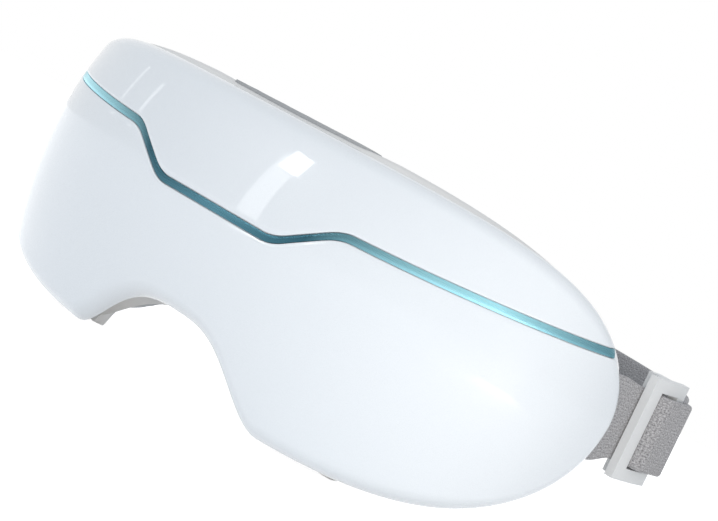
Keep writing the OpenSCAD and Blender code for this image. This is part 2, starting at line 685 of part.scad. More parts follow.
// A sleeve where two stretches of the hose meet
module tee(angle, z) {
    on_back(angle, z - joint_r) translate([0, -hose_out, 0]) cylinder(r = joint_r, h = 2 * joint_r);
}
module air_hose() {
    pump_top = pump_z + head_low + head_l + 0.2;
    valve_top = valve_z + valve_size.z + 0.2;
    color([0.82, 0.84, 0.85]) placed() difference() {
        union() {
            translate([0, back_yc, hose_z]) rotate([0, 0, -90 + valve_angle])
                rotate_extrude(angle = pump_nozzle_angle - valve_angle, $fn = 120)
                    translate([back_r + hose_out, 0]) circle(r = hose_r, $fn = 32);
            hose_drop(pump_nozzle_angle, pump_top, hose_r);
            hose_drop(valve_angle, valve_top, hose_r);
            for (s = [-1, 1]) {
                hose_drop(s * neck_angle, neck_z, hose_r);
                on_back(s * neck_angle, neck_z) rotate([90, 0, 0])
                    translate([0, 0, plate_t + 0.4]) cylinder(r = hose_r, h = hose_out - plate_t - 0.4);
                tee(s * neck_angle, neck_z);
            }
            for (a = [pump_nozzle_angle, valve_angle, neck_angle, -neck_angle]) tee(a, hose_z);
        }
        hose_drop(pump_nozzle_angle, pump_top - 1, 1.6);
        hose_drop(valve_angle, valve_top - 1, 1.6);
        for (s = [-1, 1]) on_back(s * neck_angle, neck_z) rotate([90, 0, 0])
            translate([0, 0, -2]) cylinder(r = hose_bore, h = hose_out + 1);
    }
}

// Behind the plate, towards the face: airbag, heating film and eye pad at each eye
layer_gap = 0.3;
bag_r = pad_r - 1;
// The plate is hollow towards the face, so that the flat airbag stands off it at its middle
bag_low = layer_gap + bag_r * bag_r / (2 * back_r);
heater_t = 0.4;
heater_low = bag_low + bag_t + layer_gap;
pad_low = heater_low + heater_t + 0.1;
module lens(r, t) {
    rotate_extrude() polygon([[0, 0], [r - 0.6, 0], [r, 0.4 * t], [r - 0.6, 0.6 * t], [0, t]]);
}
module facing(s) {
    placed() side(s) on_back(pad_angle, pad_z) rotate([-90, 0, 0]) children();
}
module airbag(s) {
    color([0.8, 0.82, 0.84]) union() {
        facing(s) translate([0, 0, bag_low]) lens(bag_r, bag_t);
        placed() side(s) on_back(neck_angle, neck_z) rotate([90, 0, 0]) translate([0, 0, -bag_low - 0.6])
            cylinder(r = neck_r, h = plate_t + bag_low + 0.9);
    }
}
module heater(s) {
    color([0.75, 0.5, 0.25]) facing(s) translate([0, 0, heater_low]) cylinder(r = pad_r - 0.8, h = heater_t);
}
nub_r = 2.2;
module eye_pad(s) {
    edge = 1.6;
    color([0.7, 0.72, 0.74]) facing(s) translate([0, 0, pad_low]) union() {
        rotate_extrude() union() {
            square([pad_r - edge, pad_t]);
            square([pad_r, pad_t - edge]);
            translate([pad_r - edge, pad_t - edge]) intersection() {
                circle(r = edge);
                square(edge);
            }
        }
        for (a = [0:60:300]) rotate([0, 0, a]) translate([pad_r * 0.58, 0, pad_t - 0.7]) sphere(r = nub_r, $fn = 24);
        translate([0, 0, pad_t - 0.7]) sphere(r = nub_r, $fn = 24);
    }
}

// Vibration motors: a can with a half-round weight turning on its shaft, one on each side
buzz_shaft = 0.5;
weight_r = buzz_d / 2 - 0.4;
weight_l = 4;
module at_buzz(s) {
    placed() side(s) on_back(buzz_angle, buzz_z) translate([0, -buzz_out, 0]) rotate([0, 90, 0]) children();
}
module vibration_motor(s) {
    color([0.78, 0.79, 0.8]) at_buzz(s) difference() {
        translate([0, 0, -buzz_l / 2]) cylinder(d = buzz_d, h = buzz_l);
        translate([0, 0, buzz_l / 2 - 5]) cylinder(r = buzz_shaft + 0.05, h = 6);
    }
}
module weight(s) {
    color([0.5, 0.5, 0.52]) at_buzz(s) {
        translate([0, 0, buzz_l / 2 - 4]) cylinder(r = buzz_shaft, h = 5 + weight_l);
        translate([0, 0, buzz_l / 2 + 0.8]) difference() {
            cylinder(r = weight_r, h = weight_l);
            translate([buzz_shaft + 0.4, -5, -1]) cube([5, 10, weight_l + 2]);
        }
    }
}

// Strap anchor: a foot on the back plate, two ears and the pin that the strap turns round
ear_t = 1.5;
ear_w = 4.4;
ear_z = strap_h / 2 + 0.7;
module anchor(s) {
    color([0.7, 0.71, 0.73]) placed() side(s) difference() {
        union() {
            on_back(anchor_angle, strap_z) {
                translate([-foot_w / 2, front - 0.1 - foot_t, -ear_z - ear_t]) cube([foot_w, foot_t, 2 * (ear_z + ear_t)]);
                for (z = [-ear_z - ear_t, ear_z]) translate([-ear_w / 2, -anchor_out, z])
                    cube([ear_w, anchor_out + front - 0.1 - 1, ear_t]);
                for (z = [-ear_z - ear_t, ear_z]) translate([0, -anchor_out, z]) cylinder(d = ear_w + 1, h = ear_t);
            }
            strap_plane() translate([pin_x, pin_y, -ear_z - ear_t / 2]) cylinder(r = pin_r, h = 2 * ear_z + ear_t);
        }
        for (z = [-1, 1]) on_back(anchor_angle, strap_z + z * foot_screw_z) rotate([90, 0, 0])
            cylinder(r = screw_r + screw_fit, h = 12);
    }
}

// Strap: its middle line in plan runs from the sewn end round the pin, along the side and round the back
exit_y = visor_sweep - 0.3;
pin_to_exit = [strap_x - pin_x, exit_y - pin_y];
sewn_l = 8.5;
pull = atan2(pin_to_exit.x, pin_to_exit.y) - asin(pin_wrap / norm(pin_to_exit));
// Point near the pin: v along the strap's pull and w across it, outwards
function by_pin(v, w) = [pin_x + v * sin(pull) + w * cos(pull), pin_y + v * cos(pull) - w * sin(pull)];
function loop_point(t) = [strap_x * pow(sin(t), 2 / strap_power),
    strap_bend_y + strap_depth * pow(cos(t), 2 / strap_power)];
strap_half = concat([by_pin(sewn_l, lay), by_pin(sewn_l - 2, lay)],
    [for (a = [205:-20.5:0]) by_pin(-pin_wrap * sin(a), pin_wrap * cos(a))],
    [for (f = [0, 0.4, 0.8]) [strap_x, exit_y + f * (strap_bend_y - exit_y)]],
    [for (t = [90:-6:12]) loop_point(t)]);
strap_line = concat(strap_half, [[0, strap_bend_y + strap_depth]],
    [for (i = [len(strap_half) - 1:-1:0]) [-strap_half[i].x, strap_half[i].y]]);
function unit(v) = v / max(norm(v), 1e-9);
function line_normal(p, i) =
    let (n = len(p), d = unit(p[min(i + 1, n - 1)] - p[max(i - 1, 0)])) [-d.y, d.x];
function ribbon(p, t) = concat([for (i = [0:len(p) - 1]) p[i] + line_normal(p, i) * t / 2],
    [for (i = [len(p) - 1:-1:0]) p[i] - line_normal(p, i) * t / 2]);
module strap_band() {
    color([0.58, 0.58, 0.6]) placed() strap_plane() translate([0, 0, -strap_h / 2])
        linear_extrude(strap_h) polygon(ribbon(strap_line, strap_t));
}

// Slider: a curved plate outside the strap with a window, and a bridge behind the strap that keeps it on
slider_from = 10.3;
slider_y = visor_sweep + slider_from;
slider_gap = 0.35;
bridge_t = 1.2;
bridge_gap = 1.1;
bridge_l = 5;
slider_margin = (slider_h - strap_h) / 2 - 0.5;
plate_in = strap_x + strap_t / 2 + slider_gap;
plate_out = plate_in + slider_t;
bridge_out = strap_x - strap_t / 2 - bridge_gap;
plate_curve = 45;
module slider(s) {
    mid = slider_y + slider_l / 2;
    color([0.93, 0.94, 0.95]) placed() side(s) strap_plane() difference() {
        union() {
            intersection() {
                translate([plate_in, slider_y, -slider_h / 2]) cube([slider_t + 1, slider_l, slider_h]);
                translate([plate_out + 0.6 - plate_curve, mid, -slider_h / 2]) cylinder(r = plate_curve, h = slider_h, $fn = 120);
            }
            translate([bridge_out - bridge_t, mid - bridge_l / 2, -slider_h / 2])
                cube([plate_in + 0.5 - bridge_out + bridge_t, bridge_l, slider_h]);
        }
        translate([bridge_out, slider_y - 1, -slider_h / 2 + slider_margin])
            cube([plate_in - bridge_out, slider_l + 2, slider_h - 2 * slider_margin]);
        translate([plate_in - 0.1, slider_y + slider_bar, -slider_h / 2 + slider_margin])
            cube([slider_t + 3, slider_l - 2 * slider_bar, slider_h - 2 * slider_margin]);
    }
}
// Fold: the strap's end comes up through the window, over the rear bar and down behind it
fold_gap = 0.25;
fold_over = 2;
module strap_fold(s) {
    low = slider_y + slider_bar + fold_gap;
    high = slider_y + slider_l + fold_gap;
    x0 = strap_x + strap_t / 2 + 0.3;
    x1 = plate_out + 0.6 + fold_gap;
    t = strap_t + 0.1;
    r = 1.2;
    color([0.6, 0.6, 0.62]) placed() side(s) strap_plane() translate([0, 0, -strap_h / 2])
        linear_extrude(strap_h) difference() {
            union() {
                translate([x0, low]) square([x1 + t - x0 - r, high + t - low]);
                translate([x0, low + r]) square([x1 + t - x0, high + t - low - 2 * r]);
                for (y = [low + r, high + t - r]) translate([x1 + t - r, y]) circle(r = r);
            }
            translate([x0 - 1, low + t]) square([x1 - x0 + 1, high - low - t]);
        }
}

// Screws: four hold the board, two hold each anchor
module screw(l) {
    cylinder(r = screw_r, h = l);
    translate([0, 0, l - 0.01]) cylinder(r = screw_r * 1.9, h = 1);
}
module screws() {
    out = plate_t + board_up + board_t + 0.05;
    color([0.7, 0.7, 0.72]) placed() {
        board_places() rotate([90, 0, 0]) translate([0, 0, out - 4]) screw(4);
        for (s = [-1, 1], z = [-1, 1]) side(s) on_back(anchor_angle, strap_z + z * foot_screw_z)
            rotate([90, 0, 0]) translate([0, 0, 0.1]) screw(plate_t + 0.1 + foot_t);
    }
}

front_shell();
accent_strip();
rear_housing();
back_plate();
cushion_frame();
face_cushion();
control_panel();
button(0);  // power_button
button(1);  // mode_button
button(2);  // heat_button
indicator_light();
button_board();
usb_port();
main_board();
battery_pack();
pump_motor();
pump_head();
pump_rotor();
valve_body();
valve_plunger();
air_hose();
airbag(-1);  // left_airbag
airbag(1);  // right_airbag
heater(-1);  // left_heater
heater(1);  // right_heater
eye_pad(-1);  // left_eye_pad
eye_pad(1);  // right_eye_pad
vibration_motor(-1);  // left_vibration_motor
vibration_motor(1);  // right_vibration_motor
weight(-1);  // left_weight
weight(1);  // right_weight
anchor(-1);  // left_anchor
anchor(1);  // right_anchor
strap_band();
slider(-1);  // left_slider
slider(1);  // right_slider
strap_fold(-1);  // left_strap_fold
strap_fold(1);  // right_strap_fold
screws();
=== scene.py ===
"""Looks of a heated eye massager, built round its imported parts.

Shapes are worked out in millimetres in the source's drawing frame: x to the right in a front view, y
from the visor's foremost line towards the wearer, z up from the surface it stands on. place() turns them
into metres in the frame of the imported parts.
"""
import json
import math

import bmesh
import bpy
import numpy as np
from mathutils import Matrix, Vector


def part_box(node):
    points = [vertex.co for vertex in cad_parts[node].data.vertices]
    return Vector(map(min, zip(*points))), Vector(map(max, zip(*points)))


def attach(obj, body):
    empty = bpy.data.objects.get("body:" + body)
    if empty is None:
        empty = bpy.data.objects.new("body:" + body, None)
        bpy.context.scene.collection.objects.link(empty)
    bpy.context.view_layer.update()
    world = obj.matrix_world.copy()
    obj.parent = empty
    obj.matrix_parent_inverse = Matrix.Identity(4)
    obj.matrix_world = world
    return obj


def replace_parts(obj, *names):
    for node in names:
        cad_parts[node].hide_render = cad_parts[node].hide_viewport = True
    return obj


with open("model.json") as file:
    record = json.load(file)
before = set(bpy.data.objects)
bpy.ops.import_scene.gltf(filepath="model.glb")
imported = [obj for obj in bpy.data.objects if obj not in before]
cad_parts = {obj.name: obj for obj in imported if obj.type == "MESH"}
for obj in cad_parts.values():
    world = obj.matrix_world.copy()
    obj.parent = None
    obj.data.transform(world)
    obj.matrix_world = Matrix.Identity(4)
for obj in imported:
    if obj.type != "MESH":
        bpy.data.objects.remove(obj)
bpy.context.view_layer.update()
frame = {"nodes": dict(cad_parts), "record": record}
nodes = frame["nodes"]

MM = 0.001


def span(node, axis):
    """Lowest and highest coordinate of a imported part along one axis, in millimetres."""
    low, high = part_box(node)
    return low[axis] / MM, high[axis] / MM


# Visor: its plan curve, bulge, outline, wall and rim, in millimetres as all sizes here
FRONT_Y = span("front_shell", 1)[0]
HALF_W = span("front_shell", 0)[1]
SWEEP, PLAN_POWER = 53.0, 2.43
BULGE_R, BULGE_Z = 120.0, 48.5
SIDE_Z, TOP_H, FLOOR_CUT = 47.9, 30.5, 0.32
LOBE_H = SIDE_Z + FLOOR_CUT
TOP_POWER, TOP_ROUND = 6.0, 1.74
LOW_POWER, LOW_ROUND, BACK_LOW_POWER = 3.44, 2.06, 3.6
ARCH_H, ARCH_W, BACK_ARCH_W, ARCH_FLARE, ARCH_POWER = 18.0, 42.0, 53.0, 1.35, 1.51
WALL, RIM_R, SEAM = 2.0, 4.0, 0.25

# Strip across the visor
STRIP_W, STRIP_DEEP, STRIP_RECESS, STRIP_TIP = 2.6, 0.8, 0.15, 0.7
STRIP_Z, STRIP_MID, STRIP_BEND, STRIP_RISE = 46.8, 24.1, 43.0, 10.35
STRIP_SLOPE, STRIP_LIFT, BEND_SOFT = 0.033, 6.4, 4.0

# Rear parts: the upright cylinder that they follow, the crown, the cushion's frame and feet, the cushion
BACK_INSET, BACK_MID_Y, BACK_REACH = 14.0, 20.0, 12.3
BACK_HALF = HALF_W - BACK_INSET
BACK_DROP = SWEEP + BACK_REACH - BACK_MID_Y
BACK_R = (BACK_HALF ** 2 + BACK_DROP ** 2) / (2 * BACK_DROP)
BACK_YC = BACK_MID_Y + BACK_R
CROWN_H, CROWN_HALF, CROWN_POWER, CROWN_EASE = 2.0, 78.0, 4.0, 1.2
CROWN_DIP, DIP_HALF, DIP_POWER, DIP_DEPTH = 1.1, 31.0, 2.0, 4.6
FRAME_T, FRAME_RING, FRAME_INSET, FRAME_EDGE_R, FRAME_GAP = 3.6, 14.0, 1.2, 0.9, 0.1
FOOT_X, FOOT_HALF, FOOT_DROP, FOOT_BAND = 52.0, 4.2, 8.0, 2.0
CUSHION_RING, CUSHION_MID, CUSHION_SIDE, CUSHION_GAP = 13.0, 12.0, 20.0, 0.35
PANEL_L, PANEL_D, PANEL_SETBACK, PANEL_GAP = 58.0, 8.4, 0.6, 0.2
PANEL_Y = BACK_MID_Y - PANEL_D / 2 - PANEL_SETBACK

# Strap, the pins that hold it and its sliders
STRAP_H, STRAP_T, STRAP_Z, STRAP_TILT = 20.5, 1.7, 48.3, math.radians(6.5)
STRAP_DEPTH, STRAP_POWER, STRAP_FLARE = 45.0, 2.6, (1.2, 2.0)
RIM_CLEAR, PIN_R, PIN_CLEAR, PIN_LEAD, LAP_GAP = 0.5, 1.5, 0.15, 3.15, 0.3
STRAP_X = HALF_W - RIM_R - RIM_CLEAR - STRAP_T / 2
PIN_WRAP = PIN_R + PIN_CLEAR + STRAP_T / 2
LAP_OUT = PIN_WRAP - STRAP_T - LAP_GAP
PIN_X = STRAP_X - PIN_WRAP - PIN_LEAD
PIN_Y, EXIT_Y, SLIDER_Y, STRAP_BEND_Y = SWEEP - 11.7, SWEEP - 0.3, SWEEP + 10.3, SWEEP + 20.3
SLIDER_L, SLIDER_BAR, SLIDER_T, SLIDER_GAP = 15.0, 3.8, 2.6, 0.35
PLATE_OUT = STRAP_X + STRAP_T / 2 + SLIDER_GAP + SLIDER_T

# Eye pads, with the airbag and the heater behind each
PAD_R, PAD_T, PAD_Z, PAD_ANGLE = 16.5, 6.0, 44.5, math.radians(18)
BAG_R, BAG_T, BAG_GAP, HEATER_T, HEATER_GAP = PAD_R - 1, 3.0, 0.3, 0.4, 0.1
BAG_LOW = BAG_GAP + BAG_R ** 2 / (2 * BACK_R)
PAD_LOW = BAG_LOW + BAG_T + BAG_GAP + HEATER_T + HEATER_GAP


def place(points):
    """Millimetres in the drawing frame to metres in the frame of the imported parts."""
    return (np.asarray(points, float) + (0, FRONT_Y, 0)) * MM


def sided(side, name):
    """Name of a piece that comes in pairs: side is 1 on the right and -1 on the left."""
    return ("right_" if side > 0 else "left_") + name


# Curves of the shell


def power(base, exponent):
    """Power of a value that is taken as zero where it is negative."""
    return np.maximum(base, 0.0) ** exponent


def smooth(v):
    """Soft step from 0 to 1."""
    v = np.clip(v, 0, 1)
    return v * v * (3 - 2 * v)


def lengths_along(line):
    """Length run at each point of a line."""
    return np.concatenate([[0], np.cumsum(np.linalg.norm(np.diff(line, axis=0), axis=1))])


def unit(vectors, keep=1):
    """Vectors of length one, of the kept parts of the given ones."""
    kept = vectors * np.asarray(keep)
    return kept / np.linalg.norm(kept, axis=-1)[..., None]


def circle(count):
    """Cosine and sine of even angles all round."""
    angle = np.linspace(0, 2 * np.pi, count, endpoint=False)
    return np.stack([np.cos(angle), np.sin(angle)], -1)


def resampled(line, count):
    """Points at even lengths along a line."""
    run = lengths_along(line)
    even = np.linspace(0, run[-1], count)
    return np.stack([np.interp(even, run, line[:, k]) for k in (0, 1)], -1)


PLAN_EASE = 2 / PLAN_POWER


def plan_xy(t):
    """Visor's plan curve by its angle: a quarter of a superellipse."""
    return np.stack([HALF_W * np.sin(t) ** PLAN_EASE, SWEEP * (1 - power(np.cos(t), PLAN_EASE))], -1)


# The plan curve's angle against the length run along it, with the angles crowded at both ends
PLAN_CROWD, PLAN_COUNT = 1.2, 4001
PLAN_T = np.linspace(0, 1, PLAN_COUNT)
PLAN_T = np.pi / 2 * PLAN_T ** PLAN_CROWD / (PLAN_T ** PLAN_CROWD + (1 - PLAN_T) ** PLAN_CROWD)
PLAN_XY = plan_xy(PLAN_T)
PLAN_S = lengths_along(PLAN_XY)
S_END = PLAN_S[-1]


def shell_point(s, z, inwards):
    """Point of the visor's family of surfaces: go the length s along the plan curve, then inwards along its
    normal by the given depth plus the bulge, a parabola of radius BULGE_R in height."""
    s, z, inwards = np.broadcast_arrays(np.asarray(s, float), z, inwards)
    t = np.interp(np.abs(s), PLAN_S, PLAN_T)
    x, y = np.moveaxis(plan_xy(t), -1, 0)
    turn = np.arctan2(SWEEP * power(np.sin(t), 2 - PLAN_EASE), HALF_W * power(np.cos(t), 2 - PLAN_EASE))
    depth = inwards + (z - BULGE_Z) ** 2 / (2 * BULGE_R)
    return np.stack([np.sign(s) * (x - depth * np.sin(turn)), y + depth * np.cos(turn), z], -1)


def blunt(u, exponent, rounding):
    """Height of a blunt arch over u from -1 to 1: (1 - |u|^exponent)^(1/rounding)."""
    return power(1 - np.abs(u) ** exponent, 1 / rounding)


def arch(x, width):
    """Height of the nose arch: half a cosine wave over |x| up to width, drawn out by a power."""
    share = np.minimum(np.abs(x) / width, 1.0)
    return ARCH_H * (0.5 + 0.5 * np.cos(np.pi * share ** ARCH_POWER))


def top_z(u, inset=0.0):
    """Upper outline over the share u of the width, moved in by inset."""
    return SIDE_Z + (TOP_H - inset) * blunt(u, TOP_POWER, TOP_ROUND)


def low_z(u, inset, x, width, exponent=LOW_POWER):
    """Lower outline: two lobes with the nose arch between them."""
    return SIDE_Z - (LOBE_H - inset) * blunt(u, exponent, LOW_ROUND) + arch(x, width)


def inside(s, z):
    """Above zero inside the visor's outline, and zero on it."""
    u = np.abs(s) / S_END
    upper = 1 - u ** TOP_POWER - power((z - SIDE_Z) / TOP_H, TOP_ROUND)
    lower = 1 - u ** LOW_POWER - power((SIDE_Z - z + arch(s, ARCH_W)) / LOBE_H, LOW_ROUND)
    return np.where(z >= SIDE_Z, upper, lower)


def rim_depth(s, z):
    """Distance from the outline, to first order: the outline's function over the length of its gradient."""
    step = 0.01
    here = inside(s, z)
    along = (inside(np.abs(s) + step, z) - here) / step
    up = (inside(s, np.where(z >= SIDE_Z, z + step, z - step)) - here) / step
    return np.maximum(here, 0) / np.maximum(np.hypot(along, up), 1e-9)


def rim_round(depth):
    """How far a rim rounded by a quarter circle falls back at a distance from the outline."""
    lean = np.maximum(RIM_R - depth, 0)
    return RIM_R - np.sqrt(np.maximum(RIM_R ** 2 - lean ** 2, 0))


def rim_inner(depth):
    """Depth of the visor's inner wall, which is rounded by the same centre."""
    lean = np.clip(RIM_R - depth, 0, RIM_R - WALL)
    return RIM_R - np.sqrt(np.maximum((RIM_R - WALL) ** 2 - lean ** 2, 0))


def ramp(u, r):
    """A bend of radius r between nothing and a straight slope of one."""
    return np.where(u <= -r, 0, np.where(u >= r, u, (u + r) ** 2 / (4 * r)))


def strip_mid_z(s):
    """Height of the strip's middle line: low in the middle, a climb, then a slope that curls up."""
    climb = STRIP_RISE / (STRIP_BEND - STRIP_MID)
    away = np.abs(s)
    return (STRIP_Z + climb * ramp(away - STRIP_MID, BEND_SOFT)
            + (STRIP_SLOPE - climb) * ramp(away - STRIP_BEND, BEND_SOFT)
            + STRIP_LIFT * power((away - STRIP_BEND) / (S_END - STRIP_BEND), 2))


def strip_on(s):
    """True where the strip lies well inside the outline."""
    return strip_mid_z(s) + STRIP_W / 2 + STRIP_TIP < top_z(s / S_END)


# Curves of the rear parts


def crown(x, rise=0.0):
    """Crown on the housing's top: a flat hump, less a dip at the panel that fades out towards the cushion.
    A hump is (1 - |x/half|^power)^ease."""
    def hump(half, steep):
        return power(1 - (np.abs(x) / half) ** steep, CROWN_EASE)
    dip = CROWN_DIP * hump(DIP_HALF, DIP_POWER) * power(1 - rise / DIP_DEPTH, 1)
    return CROWN_H * hump(CROWN_HALF, CROWN_POWER) - dip


def ring_angles(count):
    """Shares of the width, and which side of the outline, for points all round: the upper outline from left
    to right, then the lower one back. The points gather at the sides, where the outline turns."""
    spread = 1.1
    k = np.linspace(-1, 1, count)
    u = np.sin(np.pi / 2 * np.sign(k) * np.abs(k) ** spread)
    return np.concatenate([u[:-1], u[:0:-1]]), np.repeat([1.0, -1.0], count - 1)


def seam_ring(ring, inset, inwards):
    """Outline behind the visor's rim."""
    u, side = ring
    s = (S_END - inset) * u
    z = np.where(side > 0, top_z(u, inset), low_z(u, inset, s, ARCH_W))
    return shell_point(s, z, inwards)


def back_ring(ring, inset, rise, drop=0.0):
    """Outline on the upright cylinder of the rear parts, moved in by inset and towards the face by rise."""
    u, side = ring
    x = (BACK_HALF - inset) * u
    width = BACK_ARCH_W + ARCH_FLARE * rise
    upper = top_z(u, inset) + crown(x, rise)
    lower = low_z(u, inset, x, width, BACK_LOW_POWER)
    z = np.maximum(np.where(side > 0, upper, lower) - drop, 0)
    angle, radius = np.arcsin(x / BACK_R), BACK_R - rise
    return np.stack([radius * np.sin(angle), BACK_YC - radius * np.cos(angle), z], -1)


def on_back(points, angle, z):
    """Points given from a place on the rear cylinder: x along it, y towards the face, z up."""
    points = np.asarray(points, float)
    c, s = math.cos(angle), math.sin(angle)
    x, y = points[..., 0], points[..., 1] - BACK_R
    return np.stack([x * c - y * s, BACK_YC + x * s + y * c, points[..., 2] + z], -1)


def strap_plane(points):
    """Points of the strap's own level plane, tilted up behind the pins."""
    points = np.asarray(points, float)
    c, s = math.cos(STRAP_TILT), math.sin(STRAP_TILT)
    y, z = points[..., 1] - PIN_Y, points[..., 2]
    return np.stack([points[..., 0], PIN_Y + y * c - z * s, STRAP_Z + y * s + z * c], -1)


# Meshes


def linked(name, data):
    """New object of the scene."""
    made = bpy.data.objects.new(name, data)
    bpy.context.scene.collection.objects.link(made)
    return made


def shade(mesh, sharp=35):
    """Shades a mesh smooth except at edges sharper than the given angle."""
    mesh.shade_smooth()
    mesh.set_sharp_from_angle(angle=math.radians(sharp))


def body_of(node):
    """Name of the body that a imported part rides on."""
    bodies = frame["record"]["behaviour"]["bodies"]
    return next(body for body, members in bodies.items() if node in members)


def finish_mesh(name, mesh, body, slot, sharp=35):
    """Object at the origin that rides on a body, in the finish of a material slot."""
    shade(mesh, sharp)
    mesh.materials.clear()
    mesh.materials.append(FINISHES[slot])
    piece = linked(name, mesh)
    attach(piece, body)
    return piece


def surface(name, points, wrap_rows=False, tips=None, uv=None):
    """Closed mesh of a grid of points whose columns wrap round: rows either wrap too or end in two tips.

    Points are in millimetres in the drawing frame. uv gives the values at each row and at each column, with
    one more for the column where the grid closes."""
    rows, cols = points.shape[:2]
    i, j = np.meshgrid(np.arange(rows if wrap_rows else rows - 1), np.arange(cols), indexing="ij")
    i, j = i.ravel(), j.ravel()
    corner_i = np.stack([i, i, i + 1, i + 1], -1)
    corner_j = np.stack([j, j + 1, j + 1, j], -1)
    quads = (corner_i % rows) * cols + corner_j % cols
    verts = points.reshape(-1, 3)
    faces = quads.tolist()
    if tips is not None:
        verts = np.concatenate([verts, np.asarray(tips, float)])
        last = (rows - 1) * cols
        k = np.arange(cols)
        after, tip = (k + 1) % cols, np.full(cols, rows * cols)
        fans = [after, k, tip], [last + k, last + after, tip + 1]
        faces += np.concatenate([np.stack(fan, -1) for fan in fans]).tolist()
    corners = [verts[[f[k] for f in faces]] - verts.mean(0) for k in (0, 1, 2, -1)]
    volume = sum(np.einsum("ij,ij->", corners[0], np.cross(corners[k], corners[k + 1])) for k in (1, 2))
    if volume < 0:
        faces = [f[::-1] for f in faces]
    mesh = bpy.data.meshes.new(name)
    mesh.from_pydata(place(verts).tolist(), [], faces)
    if uv is not None:
        across, along = uv[1][corner_j], uv[0][corner_i]
        if volume < 0:
            across, along = across[:, ::-1], along[:, ::-1]
        coords = np.zeros((len(mesh.loops), 2))
        coords[:across.size, 0], coords[:across.size, 1] = along.ravel(), across.ravel()
        mesh.uv_layers.new(name="UVMap").data.foreach_set("uv", coords.ravel())
    mesh.validate()
    return mesh


def revolved(name, profile, turns, to_place):
    """Closed mesh of a (radius, height) profile, ends on the axis, turned about it, then placed."""
    round_it = circle(turns)
    r, h = profile[1:-1, :1], profile[1:-1, 1:]
    grid = np.stack([r * round_it[:, 0], r * round_it[:, 1], np.broadcast_to(h, (len(h), turns))], -1)
    tips = [[0, 0, profile[0, 1]], [0, 0, profile[-1, 1]]]
    return surface(name, to_place(grid), tips=to_place(np.array(tips)))


def eased(start, end, count, ends="both"):
    """Values from start to end that gather at one end or at both."""
    f = np.pi / 2 * np.linspace(0, 1, count)
    share = {"both": np.sin(f) ** 2, "start": 1 - np.cos(f), "end": np.sin(f)}[ends]
    return start + (end - start) * share


def without(piece, cutters):
    """Takes the cutters out of a piece by exact Booleans, which are applied."""
    for cutter in cutters:
        cut = piece.modifiers.new("cut", "BOOLEAN")
        cut.operation, cut.solver, cut.object = "DIFFERENCE", "EXACT", cutter
        with bpy.context.temp_override(object=piece, active_object=piece):
            bpy.ops.object.modifier_apply(modifier=cut.name)
    for cutter in cutters:
        bpy.data.objects.remove(cutter)
    shade(piece.data)


def reworked(mesh, work):
    """Mesh after some work on its faces and edges."""
    shape = bmesh.new()
    shape.from_mesh(mesh)
    work(shape)
    shape.to_mesh(mesh)
    shape.free()
    return mesh


def prism(name, outline, low, high, to_place=lambda p: p):
    """Upright prism on an outline, as a tool for cutting."""
    outline = np.asarray(outline, float)
    n = len(outline)
    rings = np.stack([np.column_stack([outline, np.full(n, z)]) for z in (low, high)])
    mesh = bpy.data.meshes.new(name)
    k = np.arange(n)
    sides = np.stack([k, (k + 1) % n, n + (k + 1) % n, n + k], -1).tolist()
    mesh.from_pydata(place(to_place(rings.reshape(-1, 3))).tolist(), [],
                     sides + [k[::-1].tolist(), (n + k).tolist()])
    reworked(mesh, lambda shape: bmesh.ops.recalc_face_normals(shape, faces=shape.faces))
    return linked(name, mesh)


def softened(node, name, slot, bevel):
    """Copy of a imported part, its triangles merged into whole faces and its edges rounded, in its place."""
    same_place, same_plane = 0.002 * MM, math.radians(0.5)

    def merge(shape):
        bmesh.ops.remove_doubles(shape, verts=shape.verts, dist=same_place)
        bmesh.ops.dissolve_limit(shape, angle_limit=same_plane, verts=shape.verts, edges=shape.edges)

    mesh = nodes[node].data.copy()
    mesh.name = name
    piece = finish_mesh(name, reworked(mesh, merge), body_of(node), slot)
    edge = piece.modifiers.new("edge", "BEVEL")
    edge.width, edge.segments, edge.limit_method = bevel * MM, 3, "ANGLE"
    edge.angle_limit, edge.harden_normals = math.radians(40), True
    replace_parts(piece, node)


# Shader maths


class Field:
    """An output socket that takes part in arithmetic: each operator adds a Math node."""

    def __init__(self, graph, socket):
        self.graph, self.socket = graph, socket

    def maths(self, operation, *others):
        return self.graph.node("Math", {"operation": operation}, dict(enumerate((self, *others))))

    def __add__(self, other):
        return self.maths("ADD", other)

    def __mul__(self, other):
        return self.maths("MULTIPLY", other)

    __radd__, __rmul__ = __add__, __mul__


class Graph:
    """A tree of shader nodes, with one method that adds any node."""

    def __init__(self, tree):
        self.tree = tree
        tree.nodes.clear()

    def node(self, kind, settings=None, inputs=None, output=0):
        """Adds a shader node, its settings first, then the values or links of its sockets."""
        made = self.tree.nodes.new("ShaderNode" + kind)
        for key, value in (settings or {}).items():
            if key == "stops":
                while len(made.color_ramp.elements) < len(value):
                    made.color_ramp.elements.new(0.5)
                for element, (at, colour) in zip(made.color_ramp.elements, value):
                    element.position, element.color = at, (*colour, 1)
            else:
                setattr(made, key, value)
        for key, value in (inputs or {}).items():
            socket = made.inputs[key]
            if isinstance(value, Field):
                self.tree.links.new(value.socket, socket)
            else:
                socket.default_value = (*value, 1) if socket.type == "RGBA" else value
        return Field(self, made.outputs[output]) if made.outputs else made

    def plainly_seen(self):
        """1 for rays from the camera, in gloss and through clear pieces, otherwise 0."""
        camera, gloss, clear = (self.node("LightPath", output=f"Is {kind} Ray")
                                for kind in ("Camera", "Glossy", "Transmission"))
        return camera.maths("MAXIMUM", gloss).maths("MAXIMUM", clear)


